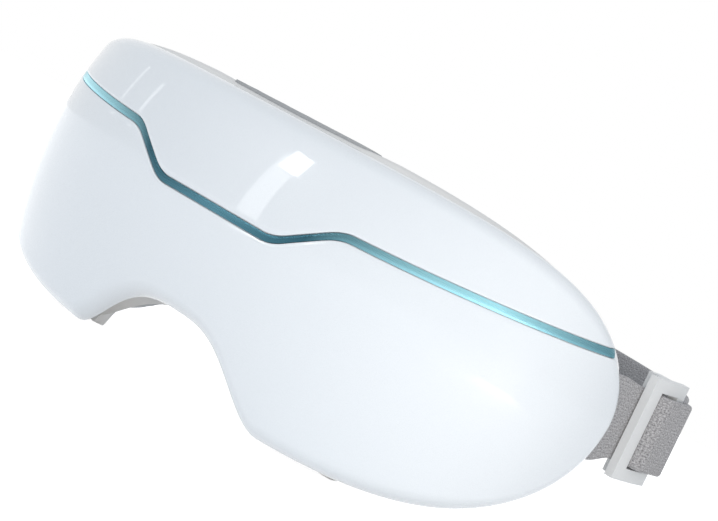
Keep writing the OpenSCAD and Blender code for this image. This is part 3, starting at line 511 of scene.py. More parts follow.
class Finish(Graph):
    """A material being built."""

    def __init__(self, name):
        self.material = bpy.data.materials.new(name)
        self.material.use_nodes = True
        super().__init__(self.material.node_tree)
        self.coords = self.node("TexCoord", output="Object")

    def noise(self, scale, detail=2.0, stretch=(1, 1, 1), where=None):
        """Noise from 0 to 1 at a scale in cells per metre."""
        at = self.node("Mapping", {}, {"Vector": where or self.coords, "Scale": stretch})
        return self.node("TexNoise", {}, {"Vector": at, "Scale": scale, "Detail": detail, "Roughness": 0.55})

    def mix(self, share, first, second):
        """Colour between two colours."""
        return self.node("Mix", {"data_type": "RGBA"}, {0: share, 6: first, 7: second}, output=2)

    def between(self, value, low, high, to_low=0.0, to_high=1.0):
        """Value mapped from one range to another and clamped."""
        return self.node("MapRange", {}, {"Value": value, "From Min": low, "From Max": high,
                                          "To Min": to_low, "To Max": to_high})

    def spread(self, noise, low, high):
        """Noise, which mostly lies between 0.3 and 0.7, mapped from there to a range."""
        return self.between(noise, 0.3, 0.7, low, high)

    def part(self, vector, axis):
        """One coordinate of a vector."""
        return self.node("SeparateXYZ", {}, {"Vector": vector}, output=axis)

    def bump(self, height, distance, strength):
        """Normal roughened by a height, with its depth in metres."""
        return self.node("Bump", {}, {"Height": height, "Distance": distance, "Strength": strength})

    def surface(self, **inputs):
        """Ends the material in a Principled surface; underscores in the names stand for spaces."""
        inputs = {key.replace("_", " "): value for key, value in inputs.items()}
        self.node("OutputMaterial", {}, {"Surface": self.node("BsdfPrincipled", {}, inputs)})
        return self.material


def toned(colour, share):
    """Colour made darker or lighter by a share."""
    return tuple(np.minimum(np.array(colour) * share, 1))


def visor_gloss():
    """Clear-coated white plastic with a cool cast; its tone and its gloss drift by a hundredth or so."""
    f = Finish("visor_gloss")
    grain = f.noise(9000, 1)
    colour = f.mix(grain, (0.765, 0.828, 0.886), (0.785, 0.845, 0.904))
    return f.surface(Base_Color=colour, Roughness=f.spread(grain, 0.27, 0.28),
                     Coat_Weight=1.0, Coat_Roughness=0.035, IOR=1.5)


# Teals of the strip's foil, with reflections painted into its base colour: a painted pale reflection in
# the middle of each flank and a painted dark reflection in the climbs
FOIL_PAINTED_DARK_REFLECTION, FOIL_TEAL, FOIL_PAINTED_PALE_REFLECTION = (0.03, 0.09, 0.12), (0.07, 0.18, 0.23), (0.42, 0.82, 0.92)


def strip_metal():
    """Anodised teal foil with fine lengthwise brushing; its base colour runs along it in painted
    reflections, pale and dark.
    """
    f = Finish("strip_metal")
    run = [0, (STRIP_MID + STRIP_BEND) / 2, (STRIP_BEND + S_END) / 2, S_END]
    out = np.interp(run, PLAN_S, PLAN_XY[:, 0]) / (2 * HALF_W)
    # Painted reflection: the base colour is dark in the climbs and pale in the flanks, set along x
    painted_reflection_tones = [FOIL_TEAL, FOIL_PAINTED_DARK_REFLECTION, FOIL_PAINTED_PALE_REFLECTION, FOIL_TEAL]
    stops = sorted({0.5 + side * place: tone for side in (-1, 1) for place, tone in zip(out, painted_reflection_tones)}.items())
    across = f.between(f.part(f.coords, 0), -HALF_W * MM, HALF_W * MM)
    brushing = f.noise(3000, 2, stretch=(0.05, 0.05, 1))
    return f.surface(Base_Color=f.node("ValToRGB", {"stops": stops}, {"Fac": across}), Metallic=1.0,
                     Roughness=f.spread(brushing, 0.24, 0.3), Normal=f.bump(brushing, 0.000003, 0.3))


def moulded(name, colour, roughness=0.45, grain=0.00002, scale=2600):
    """Matte moulded plastic: spark-eroded grain, with a slow drift of its tone and gloss."""
    f = Finish(name)
    tone = f.mix(f.noise(18), toned(colour, 0.96), toned(colour, 1.03))
    texture = f.noise(scale)
    return f.surface(Base_Color=tone, Roughness=f.spread(texture, roughness - 0.05, roughness + 0.06),
                     Normal=f.bump(texture, grain, 0.6))


def leatherette(name, colour):
    """Soft polyurethane leather: pebbled cells with fine creases between them."""
    f = Finish(name)
    warp = f.noise(300)
    cells = f.node("TexVoronoi", {"feature": "DISTANCE_TO_EDGE"}, {"Vector": f.coords, "Scale": 900.0})
    pebble = f.between(cells, 0.0, 0.25)
    # Painted shade: the creases between the pebbled cells are darker in the base colour
    tone = f.mix(pebble, toned(colour, 0.86), toned(colour, 1))
    tone = f.mix(f.spread(f.noise(25), 0.0, 0.35), tone, toned(colour, 0.92))
    return f.surface(Base_Color=tone, Roughness=f.between(pebble, 0, 1, 0.62, 0.48), Sheen_Weight=0.15,
                     Sheen_Roughness=0.5, Normal=f.bump(pebble + warp * 0.6, 0.00008, 0.6))


def heather_webbing(name, dark, light):
    """Woven elastic: a herringbone of picks across lengthwise ribs, in yarns of two greys."""
    f = Finish(name)
    cloth = f.node("TexCoord", output="UV")
    along, across = f.part(cloth, 0), f.part(cloth, 1)
    pick, rib = 0.62 * MM, 0.78 * MM
    rib_wave = (across * (2 * math.pi / rib)).maths("SINE")
    pick_wave = (along * (2 * math.pi / pick) + rib_wave * 1.6).maths("SINE")
    weave = rib_wave * 0.25 + pick_wave * 0.25 + 0.5
    at = f.node("CombineXYZ", {}, {0: along, 1: across})
    flecks = f.noise(2400, 1, where=at)
    fibres = f.noise(6500, where=at, stretch=(1, 0.4, 1))
    tone = f.mix(f.between(flecks * 0.65 + fibres * 0.35, 0.36, 0.64), dark, light)
    # Painted shade: the base colour darkens in the low parts of the weave
    tone = f.mix(f.between(weave, 0.0, 0.6, 0.3, 0.0), tone, toned(dark, 0.6))
    return f.surface(Base_Color=tone, Roughness=0.9, Sheen_Weight=0.25, Sheen_Roughness=0.6,
                     Normal=f.bump(weave + fibres * 0.5, 0.00008, 0.6))


def bare_metal(name, colour, roughness=0.3):
    """Turned or drawn metal with fine tool marks."""
    f = Finish(name)
    marks = f.noise(2200, 3, stretch=(1, 1, 0.08))
    return f.surface(Base_Color=colour, Metallic=1.0, Normal=f.bump(marks, 0.000006, 0.4),
                     Roughness=f.spread(marks, roughness - 0.06, roughness + 0.08))


def board_lacquer():
    """Green solder mask with faint copper tracks under it."""
    f = Finish("board_lacquer")
    bricks = {"Vector": f.coords, "Scale": 260.0, "Mortar Size": 0.05}
    tracks = f.node("TexBrick", {"offset": 0.35}, bricks, output=1)
    tone = f.mix(tracks, (0.02, 0.13, 0.06), (0.05, 0.24, 0.11))
    return f.surface(Base_Color=tone, Roughness=0.35, Normal=f.bump(tracks, 0.00002, 0.4), Coat_Weight=0.4)


def battery_sleeve():
    """Blue shrink sleeve with slight wrinkles."""
    f = Finish("battery_sleeve")
    wrinkles = f.noise(160, 3, stretch=(1, 1, 0.3))
    # Painted shade: the blue is darker in the hollows of the wrinkles, which the same noise sinks in the
    # bump
    tone = f.mix(wrinkles, (0.05, 0.14, 0.36), (0.08, 0.2, 0.45))
    return f.surface(Base_Color=tone, Roughness=0.3, Normal=f.bump(wrinkles, 0.0001, 0.4))


def heater_film():
    """Amber film with a copper meander printed in it."""
    f = Finish("heater_film")
    rings = {"Vector": f.coords, "Scale": 90.0, "Distortion": 1.0}
    copper = f.between(f.node("TexWave", {"wave_type": "RINGS"}, rings, output=1), 0.45, 0.55)
    tone = f.mix(copper, (0.62, 0.3, 0.07), (0.5, 0.17, 0.06))
    relief = f.bump(copper, 0.00002, 0.5)
    return f.surface(Base_Color=tone, Roughness=0.3, Metallic=copper * 0.6, Normal=relief)


def soft_silicone(name, colour, roughness=0.42):
    """Silicone rubber: satin, slightly see-through in its depth, with a dusty touch."""
    f = Finish(name)
    dust = f.noise(900, 3)
    return f.surface(Base_Color=f.mix(dust, toned(colour, 0.94), toned(colour, 1)),
                     Roughness=f.spread(dust, roughness - 0.05, roughness + 0.1),
                     Normal=f.bump(dust, 0.00001, 0.5), Subsurface_Weight=0.15,
                     Subsurface_Radius=(2 * MM, 2 * MM, 2 * MM), Subsurface_Scale=1.0)


def lit_lens():
    """Milky lens of the indicator, faintly lit in blue."""
    f = Finish("lit_lens")
    glow = f.mix(f.noise(1500, 1), (0.2, 0.6, 1), (0.4, 0.8, 1))
    return f.surface(Base_Color=(0.6, 0.8, 0.9), Roughness=0.2, Emission_Color=glow, Emission_Strength=0.6)


FINISHES = {
    "visor": visor_gloss(),
    "strip": strip_metal(),
    "housing": moulded("housing_matte", (0.84, 0.85, 0.85), 0.5, grain=0.00001),
    "plate": moulded("plate_matte", (0.58, 0.6, 0.62), 0.5),
    "rim": moulded("rim_matte", (0.86, 0.88, 0.9), 0.42),
    "cushion": leatherette("cushion_leather", (0.42, 0.45, 0.475)),
    "panel": moulded("panel_satin", (0.36, 0.38, 0.40), 0.4, grain=0.000005, scale=5000),
    "button": moulded("button_satin", (0.5, 0.52, 0.54), 0.36, grain=0.000004, scale=5000),
    "light": lit_lens(),
    "board": board_lacquer(),
    "metal": bare_metal("steel", (0.72, 0.73, 0.75)),
    "battery": battery_sleeve(),
    "inner_plastic": moulded("inner_plastic", (0.7, 0.71, 0.73), 0.4),
    "valve": moulded("valve_plastic", (0.04, 0.042, 0.046), 0.4),
    "air_rubber": soft_silicone("air_rubber", (0.66, 0.69, 0.72)),
    "heater": heater_film(),
    "silicone": soft_silicone("pad_silicone", (0.46, 0.49, 0.52)),
    "strap": heather_webbing("strap_webbing", (0.19, 0.19, 0.2), (0.6, 0.605, 0.63)),
    "slider": moulded("slider_plastic", (0.76, 0.79, 0.81), 0.33, grain=0.000004, scale=5000),
}


def dress_packed_parts():
    """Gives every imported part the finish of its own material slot."""
    for part in frame["record"]["subparts"]:
        mesh = nodes[part["node"]].data
        mesh.materials.clear()
        mesh.materials.append(FINISHES[part["material_slot"]])


dress_packed_parts()


# Visor and its strip


def visor_skin():
    """White front: at each station across the width, one closed section runs up the rounded face, through
    the strip's groove, over the rim and down the inner wall. Stations crowd at the tips by a sine."""
    stations, tip_share = 361, 0.004
    half = np.pi / 2 * (1 - tip_share)
    s = (S_END * np.sin(np.linspace(-half, half, stations)))[:, None]
    zt, zb = top_z(s / S_END), low_z(s / S_END, 0, s, ARCH_W)
    # Upper and lower edge of the groove, and in the tips beyond it a thin band in its place
    top_share, band_share = 0.15, 0.25
    z4 = np.minimum(strip_mid_z(s) + STRIP_W / 2, zt - np.minimum(STRIP_TIP, top_share * (zt - zb)))
    z3 = z4 - np.minimum(STRIP_W, band_share * (z4 - zb))
    lower, upper = eased(zb, z3, 49, "start"), eased(z4, zt, 33, "end")
    # The groove's section: a lip that rounds over, then a wall with draft down to the floor
    lip, draft, lip_sink, wall_sink = 0.09, 0.13, 0.05, 0.16
    across = np.array([-lip, 0, 0.3 * draft, draft])
    sink = np.array([lip_sink, wall_sink, STRIP_DEEP])
    faces = np.concatenate([lower[:, :-1], z3 + across, z4 - across[::-1], upper[:, 1:]], 1)
    dip = np.zeros_like(faces)
    first = lower.shape[1]
    dip[:, first:first + 6] = np.where(strip_on(s), np.concatenate([sink, sink[::-1]]), 0.0)
    outer = shell_point(s, faces, rim_round(rim_depth(s, faces)) + dip)
    walls = eased(zt, zb, 61)
    inner = shell_point(s, walls, rim_inner(rim_depth(s, walls)))
    tip = shell_point(S_END, SIDE_Z, RIM_R)
    mesh = surface("visor_skin", np.concatenate([outer, inner[:, 1:-1]], 1), tips=[tip * (-1, 1, 1), tip])
    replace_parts(finish_mesh("visor_skin", mesh, "housing", "visor"), "front_shell")


def strip_inlay():
    """Teal strip: a flat bar with rounded long edges that follows the groove from one side to the other."""
    side_gap, floor_gap, corner, swell, shoulder = 0.23, 0.08, 0.12, 0.03, 0.5
    s = np.linspace(-S_END, S_END, 1201)
    s = s[strip_on(s)][:, None]
    reach, deep = STRIP_W / 2 - side_gap, STRIP_DEEP - floor_gap - STRIP_RECESS
    edge = np.array([[reach - corner, 0], [reach - 0.3 * corner, 0.3 * corner], [reach, corner],
                     [reach, shoulder], [reach, deep]])
    section = np.concatenate([(edge * (-1, 1))[-2::-1], [[0, -swell]], edge, [[-reach, deep]]])
    z = strip_mid_z(s) + section[:, 0]
    points = shell_point(s, z, rim_round(rim_depth(s, z)) + STRIP_RECESS + section[:, 1])
    mesh = surface("strip_inlay", points, tips=[points[0].mean(0), points[-1].mean(0)])
    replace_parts(finish_mesh("strip_inlay", mesh, "housing", "strip"), "accent_strip")


# Rear housing


def pin_pull():
    """Direction of the strap's pull from the pin to its exit, as an angle from the y axis."""
    away = np.array([STRAP_X - PIN_X, EXIT_Y - PIN_Y])
    return math.atan2(away[0], away[1]) - math.asin(PIN_WRAP / np.linalg.norm(away))


def by_pin(along, out):
    """Points near the pin, along the strap's pull and outwards across it."""
    s, c = math.sin(pin_pull()), math.cos(pin_pull())
    return np.stack([PIN_X + along * s + out * c, PIN_Y + along * c - out * s], -1)


def housing_skin():
    """Matte shell behind the visor: between the seam's outline and the rear outline a profile climbs in a
    soft shoulder, one less a high power of what is left, then turns in over a rounded rear edge."""
    ring, seam_in, front_lap, shoulder = ring_angles(241), RIM_R + SEAM, 0.5, 7.6
    a0, a2 = seam_ring(ring, SEAM, seam_in), back_ring(ring, 0, 0)
    b0, b2 = seam_ring(ring, SEAM + WALL + front_lap, seam_in), back_ring(ring, WALL, 0)
    share = eased(0, 1, 25)[:, None, None]
    climb = np.concatenate([share, share, 1 - (1 - share) ** shoulder], -1)
    turn = np.linspace(0, 1, 5)[1:-1, None, None]
    outer, inner = a0 + (a2 - a0) * climb, b0 + (b2 - b0) * climb
    rows = np.concatenate([outer, a2 + (b2 - a2) * turn, inner[::-1], b0 + (a0 - b0) * turn])
    mesh = surface("housing_skin", rows.transpose(1, 0, 2), wrap_rows=True)
    piece = finish_mesh("housing_skin", mesh, "housing", "housing")
    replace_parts(piece, "rear_housing")
    without(piece, strap_slots() + [panel_well()])


def strap_slots():
    """Tools that cut the ways of the strap to its pins, one on each side."""
    clear, slot_w, slot_end, run = 0.6, 12.0, SWEEP + 3.5, 9.5
    lay, inside_x = LAP_OUT - STRAP_T / 2 - clear, STRAP_X - STRAP_T / 2 - clear
    outline = np.array([by_pin(0, lay), by_pin(0, lay + slot_w), [STRAP_X + slot_w, slot_end],
                        [inside_x, slot_end], [inside_x, EXIT_Y], by_pin(run, lay)])
    half = STRAP_H / 2 + clear
    return [prism("slot", outline * (side, 1), -half - STRAP_FLARE[1], half + STRAP_FLARE[0], strap_plane)
            for side in (-1, 1)]


def panel_well():
    """Tool that cuts the well of the control panel."""
    bow = np.linspace(-np.pi / 2, np.pi / 2, 17)
    r, below, above = PANEL_D / 2 + PANEL_GAP, 5, 12
    end = np.stack([PANEL_L / 2 - PANEL_D / 2 + r * np.cos(bow), PANEL_Y + r * np.sin(bow)], -1)
    stadium = np.concatenate([end, end[::-1] * (-1, 1)])
    return prism("well", stadium, SIDE_Z + TOP_H - below, SIDE_Z + TOP_H + above)


visor_skin()
strip_inlay()
housing_skin()


# Cushion frame and cushion


def cushion_rim():
    """Pale frame under the cushion: a flat ring on the cylinder with rounded outer edges. Its outer side
    swells down in two bell curves to the surface that it stands on."""
    ring = ring_angles(241)
    u, side = ring
    from_foot = np.abs(u) * (BACK_HALF - FRAME_INSET) - FOOT_X
    foot = FOOT_DROP * np.exp(-(from_foot / FOOT_HALF) ** 2) * (side < 0)
    sine, cosine = (FRAME_EDGE_R * trig(np.linspace(0, np.pi / 2, 6)) for trig in (np.sin, np.cos))
    centre = FRAME_INSET + FRAME_EDGE_R
    low = np.stack([centre - sine, FRAME_GAP + FRAME_EDGE_R - cosine], -1)
    high = np.stack([centre - cosine, FRAME_T - FRAME_EDGE_R + sine], -1)
    flat = [(FRAME_INSET + FRAME_RING, FRAME_T), (FRAME_INSET + FRAME_RING, FRAME_GAP)]
    rows = np.stack([back_ring(ring, inset, rise, foot if inset < FRAME_INSET + FOOT_BAND else 0.0)
                     for inset, rise in np.concatenate([low, high, flat])])
    mesh = surface("cushion_rim", rows.transpose(1, 0, 2), wrap_rows=True)
    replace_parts(finish_mesh("cushion_rim", mesh, "housing", "rim"), "cushion_frame")


def cushion_profile(count):
    """The cushion's section from its outer foot over its crown to its inner foot, as shares of its width and
    height: an even run of points on a line through its form, smoothed by a bell window."""
    form = np.array([(0.1, 0), (-0.08, 0.2), (-0.1, 0.45), (-0.02, 0.7), (0.22, 0.93), (0.5, 1),
                     (0.78, 0.93), (0.97, 0.68), (1, 0.25), (0.9, 0)])
    fine, reach = 400, 22
    line = resampled(form, fine)
    window = np.hanning(2 * reach + 1)
    window /= window.sum()
    padded = np.concatenate([np.repeat(line[:1], reach, 0), line, np.repeat(line[-1:], reach, 0)])
    curve = np.stack([np.convolve(padded[:, k], window, "valid") for k in (0, 1)], -1)
    return curve[np.linspace(0, len(curve) - 1, count).astype(int)]


def puffed(piece, pinned, most):
    """Padding by cloth simulation: the piece is remeshed in even cells and blown up by pressure with the
    pinned points held, each point's way is cut off at the most, and the result is subdivided once."""
    voxel, frames = 2.5, 20
    remesh = piece.modifiers.new("cells", "REMESH")
    remesh.mode, remesh.voxel_size, remesh.use_smooth_shade = "VOXEL", voxel * MM, True
    with bpy.context.temp_override(object=piece, active_object=piece):
        bpy.ops.object.modifier_apply(modifier=remesh.name)
    mesh = piece.data
    start = np.empty(len(mesh.vertices) * 3)
    mesh.vertices.foreach_get("co", start)
    start = start.reshape(-1, 3)
    held = piece.vertex_groups.new(name="held")
    held.add(np.flatnonzero(pinned(start)).tolist(), 1.0, "REPLACE")
    cloth = piece.modifiers.new("padding", "CLOTH")
    fabric = cloth.settings
    fabric.quality, fabric.mass, fabric.vertex_group_mass = 6, 0.01, held.name
    fabric.use_pressure, fabric.uniform_pressure_force = True, 28.0
    fabric.effector_weights.gravity = 0
    fabric.tension_stiffness = fabric.compression_stiffness = 5
    cloth.point_cache.frame_start, cloth.point_cache.frame_end = 1, frames
    for frame_number in range(1, frames + 1):
        bpy.context.scene.frame_set(frame_number)
    done = piece.evaluated_get(bpy.context.evaluated_depsgraph_get()).data
    moved = np.empty(len(start) * 3)
    done.vertices.foreach_get("co", moved)
    way = moved.reshape(-1, 3) - start
    length = np.linalg.norm(way, axis=1)[:, None]
    way *= np.minimum(1, most * MM / np.maximum(length, 1e-9))
    piece.modifiers.remove(cloth)
    bpy.context.scene.frame_set(1)
    mesh.vertices.foreach_set("co", (start + way).ravel())
    mesh.update()
    smooth_once = piece.modifiers.new("smooth", "SUBSURF")
    smooth_once.levels = smooth_once.render_levels = 1


def face_pad():
    """Cushion towards the face: a ring of crowned sections, thicker at the sides, swollen by simulation from
    a slightly smaller shape, with a corded seam round it."""
    shrink, cord_r, least, held, swell = 0.6, 0.55, 0.02, 1.2, 1.2
    thicken_from, thicken_over, cord_across, cord_up = 0.45, 0.5, 0.3, 0.93
    ring = ring_angles(161)
    side_share = smooth((np.abs(ring[0]) - thicken_from) / thicken_over)
    thick = CUSHION_MID + (CUSHION_SIDE - CUSHION_MID) * side_share
    base = FRAME_T + CUSHION_GAP

    def on_pad(across, up, less=0.0):
        within = less + max(least, across) * (CUSHION_RING - 2 * less)
        return back_ring(ring, FRAME_INSET + within, base + up * (thick - less))

    rows = [on_pad(across, up, shrink) for across, up in cushion_profile(40)]
    mesh = surface("face_pad", np.stack(rows).transpose(1, 0, 2), wrap_rows=True)
    piece = finish_mesh("face_pad", mesh, "housing", "cushion", sharp=60)
    puffed(piece, lambda p: rise_of(p) < base + held, swell)
    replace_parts(piece, "face_cushion")
    line = on_pad(cord_across, cord_up)
    step = unit(np.roll(line, -1, 0) - np.roll(line, 1, 0))
    out = unit((0, BACK_YC, 0) - line, (1, 1, 0))
    turn = circle(8)[..., None]
    cord = line[:, None] + cord_r * (out[:, None] * turn[:, 0] + np.cross(step, out)[:, None] * turn[:, 1])
    mesh = surface("face_pad_piping", cord, wrap_rows=True)
    finish_mesh("face_pad_piping", mesh, "housing", "cushion", sharp=80)


def rise_of(points):
    """How far points in metres lie towards the face from the cylinder of the rear parts, in millimetres."""
    x, y = points[:, 0] / MM, points[:, 1] / MM - FRONT_Y - BACK_YC
    return BACK_R - np.hypot(x, y)


cushion_rim()
face_pad()


# Strap, its folds and its sliders


def strap_path():
    """Middle line of the strap in its own plane: the sewn end, round the pin, straight along the side, then
    a superellipse round the back of the head, mirrored."""
    sewn_from, sewn_to, wrap_end, straights, bends = 8.5, 2.1, 205, 12, 90
    sewn = by_pin(np.linspace(sewn_from, sewn_to, 5), LAP_OUT)
    angle = np.radians(np.linspace(wrap_end, 0, 22))
    wrap = by_pin(-PIN_WRAP * np.sin(angle), PIN_WRAP * np.cos(angle))
    straight = np.column_stack([np.full(straights, STRAP_X), np.linspace(EXIT_Y, STRAP_BEND_Y, straights)])
    t = np.linspace(np.pi / 2, 0, bends)[1:]
    loop = np.stack([STRAP_X * power(np.sin(t), 2 / STRAP_POWER),
                     STRAP_BEND_Y + STRAP_DEPTH * power(np.cos(t), 2 / STRAP_POWER)], -1)
    half = np.concatenate([sewn, wrap, straight, loop])
    return resampled(np.concatenate([half, (half * (-1, 1))[-2::-1]]), 420)


def webbing(name, line, thick, width, flare=None):
    """Woven band along a line in the strap's plane: its section is a flat bar with round selvedges, and its
    UV map holds metres along and across. Its upper and lower halves stretch by the columns of flare."""
    step = unit(np.gradient(line, axis=0))
    normal = np.stack([-step[:, 1], step[:, 0]], -1)
    bow = np.linspace(-np.pi / 2, np.pi / 2, 7)
    r = thick / 2
    end = np.stack([r * np.sin(bow), width / 2 - r + r * np.cos(bow)], -1)
    flat = np.linspace(width / 2 - r, r - width / 2, 9)[1:-1]
    side = np.column_stack([np.full(len(flat), r), flat])
    section = np.concatenate([end, side, (end * (1, -1))[::-1], -side])
    points = np.concatenate([line[:, None] + normal[:, None] * section[:, :1],
                             np.broadcast_to(section[:, 1:], (len(line), len(section), 1))], -1)
    if flare is not None:
        share = section[:, 1] / (width / 2)
        points[..., 2] += np.where(share > 0, share * flare[:, :1], share * flare[:, 1:])
    uv = lengths_along(line) * MM, lengths_along(np.vstack([section, section[:1]])) * MM
    points = strap_plane(points)
    return surface(name, points, tips=[points[0].mean(0), points[-1].mean(0)], uv=uv)


def strap_webbing():
    """Strap, a little wider where it leaves the housing than at its pins and its sliders."""
    widen_from, past_slider, narrow_over = 3, 1, 10
    line = strap_path()
    y = line[:, 1]
    grow = smooth((y - PIN_Y - widen_from) / (EXIT_Y - PIN_Y - widen_from))
    grow *= smooth((SLIDER_Y + past_slider - y) / narrow_over)
    mesh = webbing("strap_webbing", line, STRAP_T, STRAP_H, grow[:, None] * STRAP_FLARE)
    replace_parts(finish_mesh("strap_webbing", mesh, "housing", "strap", sharp=80), "strap_band")


def strap_fold(side):
    """Strap's end: out through the slider's window and back over its rear bar, with round bends."""
    fluff, gap, bend, loft, plate_swell, end_gap = 0.1, 0.25, 1.9, 0.8, 0.6, 0.3
    thick = STRAP_T + fluff
    around = gap + thick / 2
    low, high = SLIDER_Y + SLIDER_BAR + around, SLIDER_Y + SLIDER_L + around
    x0, x1 = STRAP_X + STRAP_T / 2 + end_gap, PLATE_OUT + plate_swell + around + loft
    quarter = np.linspace(0, np.pi / 2, 9)
    first = np.stack([x1 - bend + bend * np.sin(quarter), low + bend - bend * np.cos(quarter)], -1)
    second = np.stack([x1 - bend + bend * np.cos(quarter), high - bend + bend * np.sin(quarter)], -1)
    web = np.linspace(first[-1], second[0], 11)[1:-1]
    middle = (x0 + x1 - bend) / 2
    line = np.concatenate([[[x0, low], [middle, low]], first, web, second, [[middle, high], [x0, high]]])
    name = sided(side, "strap_fold")
    mesh = webbing("strap_fold", line * (side, 1), thick, STRAP_H)
    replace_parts(finish_mesh(name + "_cloth", mesh, body_of(name), "strap", sharp=80), name)


strap_webbing()
for side in (-1, 1):
    strap_fold(side)
    slider = sided(side, "slider")
    softened(slider, slider + "_frame", "slider", bevel=0.3)


# Eye pads and airbags


def facing(side, low):
    """Puts points drawn about a z axis behind the back plate at one eye, with z towards the face."""
    def to_place(points):
        points = np.asarray(points, float)
        turned = np.stack([points[..., 0], points[..., 2] + low, -points[..., 1]], -1)
        return on_back(turned, PAD_ANGLE, PAD_Z) * (side, 1, 1)
    return to_place


def eye_pad(side):
    """Silicone pad on a polar grid: a flat disc with a rounded shoulder, and seven knobs as bell curves."""
    edge, foot, knob_r, knob_h, knob_ring, blunting, innermost = 1.6, 0.5, 2.5, 1.5, 0.58, 1.6, 0.3
    shoulder = np.linspace(0, np.pi / 2, 8)
    r_flat = np.linspace(PAD_R - edge, innermost, 40)[1:]
    r = np.concatenate([[PAD_R - foot, PAD_R], PAD_R - edge + edge * np.cos(shoulder), r_flat])[:, None]
    z = np.concatenate([[0, foot], PAD_T - edge + edge * np.sin(shoulder), 0 * r_flat + PAD_T])[:, None]
    round_it = circle(120)
    x, y = r * round_it[:, 0], r * round_it[:, 1]
    height = np.broadcast_to(z, x.shape).copy()
    for kx, ky in np.concatenate([[[0, 0]], PAD_R * knob_ring * circle(6)]):
        away = ((x - kx) ** 2 + (y - ky) ** 2) / knob_r ** 2
        height += (z >= PAD_T) * knob_h * np.exp(-away ** blunting)
    name = sided(side, "eye_pad")
    to_place = facing(side, PAD_LOW)
    tips = to_place([[0, 0, 0], [0, 0, PAD_T + knob_h]])
    mesh = surface(name + "_silicone", to_place(np.stack([x, y, height], -1)), tips=tips)
    piece = finish_mesh(name + "_silicone", mesh, body_of(name), "silicone", sharp=70)
    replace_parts(piece, name)


def airbag(side):
    """Air bladder: two domed films, each a blunted quarter circle in section, welded in a thin flange."""
    flange, flange_half, film, blunting = 1.5, 0.12, 0.05, 0.4
    f = np.linspace(0, 1, 14)
    bow = (BAG_T / 2 - film) * (1 - f ** 2) ** blunting
    upper = np.stack([(BAG_R - flange) * f, bow], -1)
    half = np.concatenate([upper, [[BAG_R, flange_half]]])
    profile = np.concatenate([half * (1, -1), half[::-1]]) + (0, BAG_T / 2)
    name = sided(side, "airbag")
    mesh = revolved(name + "_film", profile, 96, facing(side, BAG_LOW))
    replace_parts(finish_mesh(name + "_film", mesh, body_of(name), "air_rubber", sharp=50), name)


for side in (-1, 1):
    eye_pad(side)
    airbag(side)


# Control panel on the crown

softened("control_panel", "panel_bar", "panel", bevel=0.3)
for button in ("power_button", "mode_button", "heat_button"):
    softened(button, button + "_cap", "button", bevel=0.35)
softened("usb_port", "port_shell", "metal", bevel=0.06)
softened("indicator_light", "light_pipe", "light", bevel=0.12)


def button_mark(node, along, across):
    """Fine raised line on a button's top: a round cord along an ellipse of the given half axes."""
    r, sunk = 0.14, 0.03
    low, high = (np.array(corner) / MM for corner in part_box(node))
    middle = (*(low + high)[:2] / 2, high[2]) - np.array([0, FRONT_Y, sunk])
    around = r * circle(8)
    points = circle(40)[:, None] * ((along, across) + around[:, :1])
    z = np.broadcast_to(around[:, 1:], (*points.shape[:2], 1))
    mesh = surface(node + "_mark", np.concatenate([points, z], -1) + middle, wrap_rows=True)
    finish_mesh(node + "_mark", mesh, body_of(node), "plate", sharp=80)


def port_tongue():
    """Tongue in the charging port: an upright bar with a rounded section that narrows towards its end."""
    half_l, half_w, foot, tip, nose, narrow_over = 3.0, 0.4, 0.8, 0.7, 0.1, 0.5
    low, high = (np.array(corner) / MM - (0, FRONT_Y, 0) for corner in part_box("usb_port"))
    turn = circle(32)
    section = (half_l, half_w) * np.sign(turn) * np.abs(turn) ** (0.3, 0.5)
    heights = [low[2] + foot, high[2] - tip - narrow_over, high[2] - tip - nose, high[2] - tip]
    rows = np.stack([np.column_stack([section * size + (low + high)[:2] / 2, np.full(len(section), z)])
                     for z, size in zip(heights, (1.0, 1.0, 0.93, 0.75))])
    mesh = surface("port_tongue", rows, tips=[rows[0].mean(0), rows[-1].mean(0)])
    finish_mesh("port_tongue", mesh, "housing", "valve", sharp=50)


button_mark("power_button", 1.2, 1.2)
button_mark("mode_button", 1.4, 0.45)
button_mark("heat_button", 0.6, 0.6)
port_tongue()


# Camera, floor and lights

TARGET = Vector((27.06, FRONT_Y + 31.43, 53.32)) * MM
AZIMUTH, ELEVATION, ROLL = math.radians(40.801), math.radians(0.593), math.radians(29.3)
DISTANCE = 623.5 * MM
RIGHT = Vector((math.cos(AZIMUTH), math.sin(AZIMUTH), 0))
LEVEL_BACK = Vector((math.sin(AZIMUTH), -math.cos(AZIMUTH), 0))
BACK = LEVEL_BACK * math.cos(ELEVATION) + Vector((0, 0, math.sin(ELEVATION)))
UP = BACK.cross(RIGHT)
VISOR_MIDDLE = Vector((0, FRONT_Y + 10, SIDE_Z)) * MM
CAMERA_X = RIGHT * math.cos(ROLL) + UP * math.sin(ROLL)
CAMERA_Y = -RIGHT * math.sin(ROLL) + UP * math.cos(ROLL)


def add_camera():
    """Camera of the photograph, with a long lens."""
    lens = bpy.data.cameras.new("camera")
    lens.lens, lens.sensor_width = 116.85, 36.0
    lens.clip_start, lens.clip_end = 0.01, 20.0
    camera = linked("camera", lens)
    turn = Matrix((CAMERA_X, CAMERA_Y, BACK)).transposed().to_4x4()
    camera.matrix_world = Matrix.Translation(TARGET + BACK * DISTANCE) @ turn
    bpy.context.scene.camera = camera


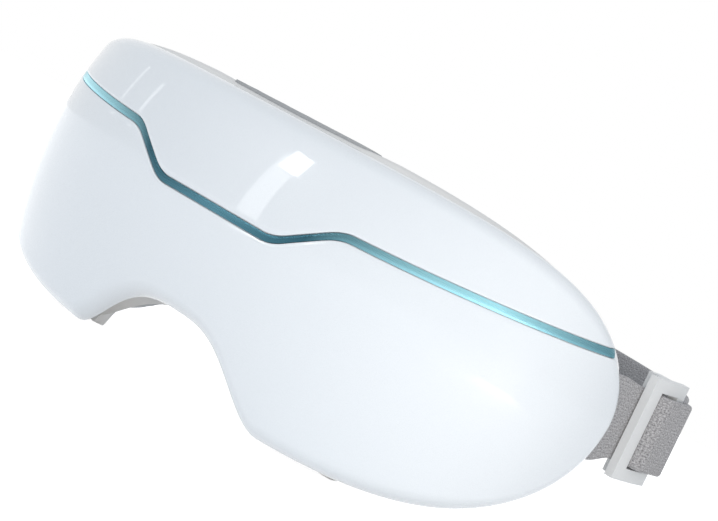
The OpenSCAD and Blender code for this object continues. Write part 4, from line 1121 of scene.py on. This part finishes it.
def add_lamp(name, toward, away, size, watts, in_gloss=True, colour=(1, 1, 1)):
    """Rectangular lamp in a direction from the visor, aimed back at it. One that is kept out of the gloss
    lights the matte part of each surface only, so that no hard edge of it shows."""
    lamp = bpy.data.lights.new(name, "AREA")
    lamp.shape, lamp.energy = "RECTANGLE", watts
    lamp.size, lamp.size_y = size
    lamp.color = colour
    spot = linked(name, lamp)
    spot.location = VISOR_MIDDLE + Vector(toward).normalized() * away
    spot.rotation_euler = (VISOR_MIDDLE - spot.location).to_track_quat("-Z", "Y").to_euler()
    spot.visible_glossy = in_gloss


def add_floor():
    """Pale floor just under the part that shows white to the camera and keeps a soft shadow."""
    half, low = 6.0, -0.0002
    corners = [(-half, -half, low), (half, -half, low), (half, half, low), (-half, half, low)]
    mesh = bpy.data.meshes.new("floor")
    mesh.from_pydata(corners, [], [(0, 1, 2, 3)])
    f = Finish("floor_white")
    tone = f.mix(f.noise(4, 1), (0.8, 0.8, 0.8), (0.82, 0.82, 0.82))
    paper = f.node("BsdfPrincipled", {}, {"Base Color": tone, "Roughness": 0.9, "Specular IOR Level": 0.0})
    white = f.node("Emission", {}, {"Color": (1, 1, 1), "Strength": f.plainly_seen() * 0.85})
    f.node("OutputMaterial", {}, {"Surface": f.node("AddShader", {}, {0: paper, 1: white})})
    mesh.materials.append(f.material)
    linked("floor", mesh)


def add_world():
    """Even pale surround that lights softly and shows white to the camera and in gloss."""
    world = bpy.data.worlds.new("studio")
    bpy.context.scene.world = world
    world.use_nodes = True
    g = Graph(world.node_tree)
    soft = g.node("Background", {}, {"Color": (0.93, 0.96, 1.0), "Strength": 0.63})
    white = g.node("Background", {}, {"Color": (1, 1, 1), "Strength": 1.0})
    both = g.node("MixShader", {}, {0: g.plainly_seen(), 1: soft, 2: white})
    g.node("OutputWorld", {}, {"Surface": both})


add_camera()
add_floor()
add_world()
add_lamp("key", (0.8, -0.6, -0.06), 0.42, (0.15, 0.15), 1.0, in_gloss=False, colour=(1.0, 0.92, 0.84))
add_lamp("front", (-0.2, -0.97, 0.0), 1.4, (0.8, 0.8), 3.6, in_gloss=False)
add_lamp("window", (-0.64, -0.75, 0.13), 1.2, (0.067, 0.36), 0.18)
add_lamp("window_top", (-0.615, -0.74, 0.26), 1.19, (0.067, 0.10), 0.2)
add_lamp("side_slit", (-0.90, -0.41, 0.136), 1.2, (0.02, 0.2), 0.02)
add_lamp("far_slit", (-0.95, -0.28, 0.137), 1.2, (0.02, 0.2), 0.015)
bpy.context.scene.view_settings.view_transform = "Standard"
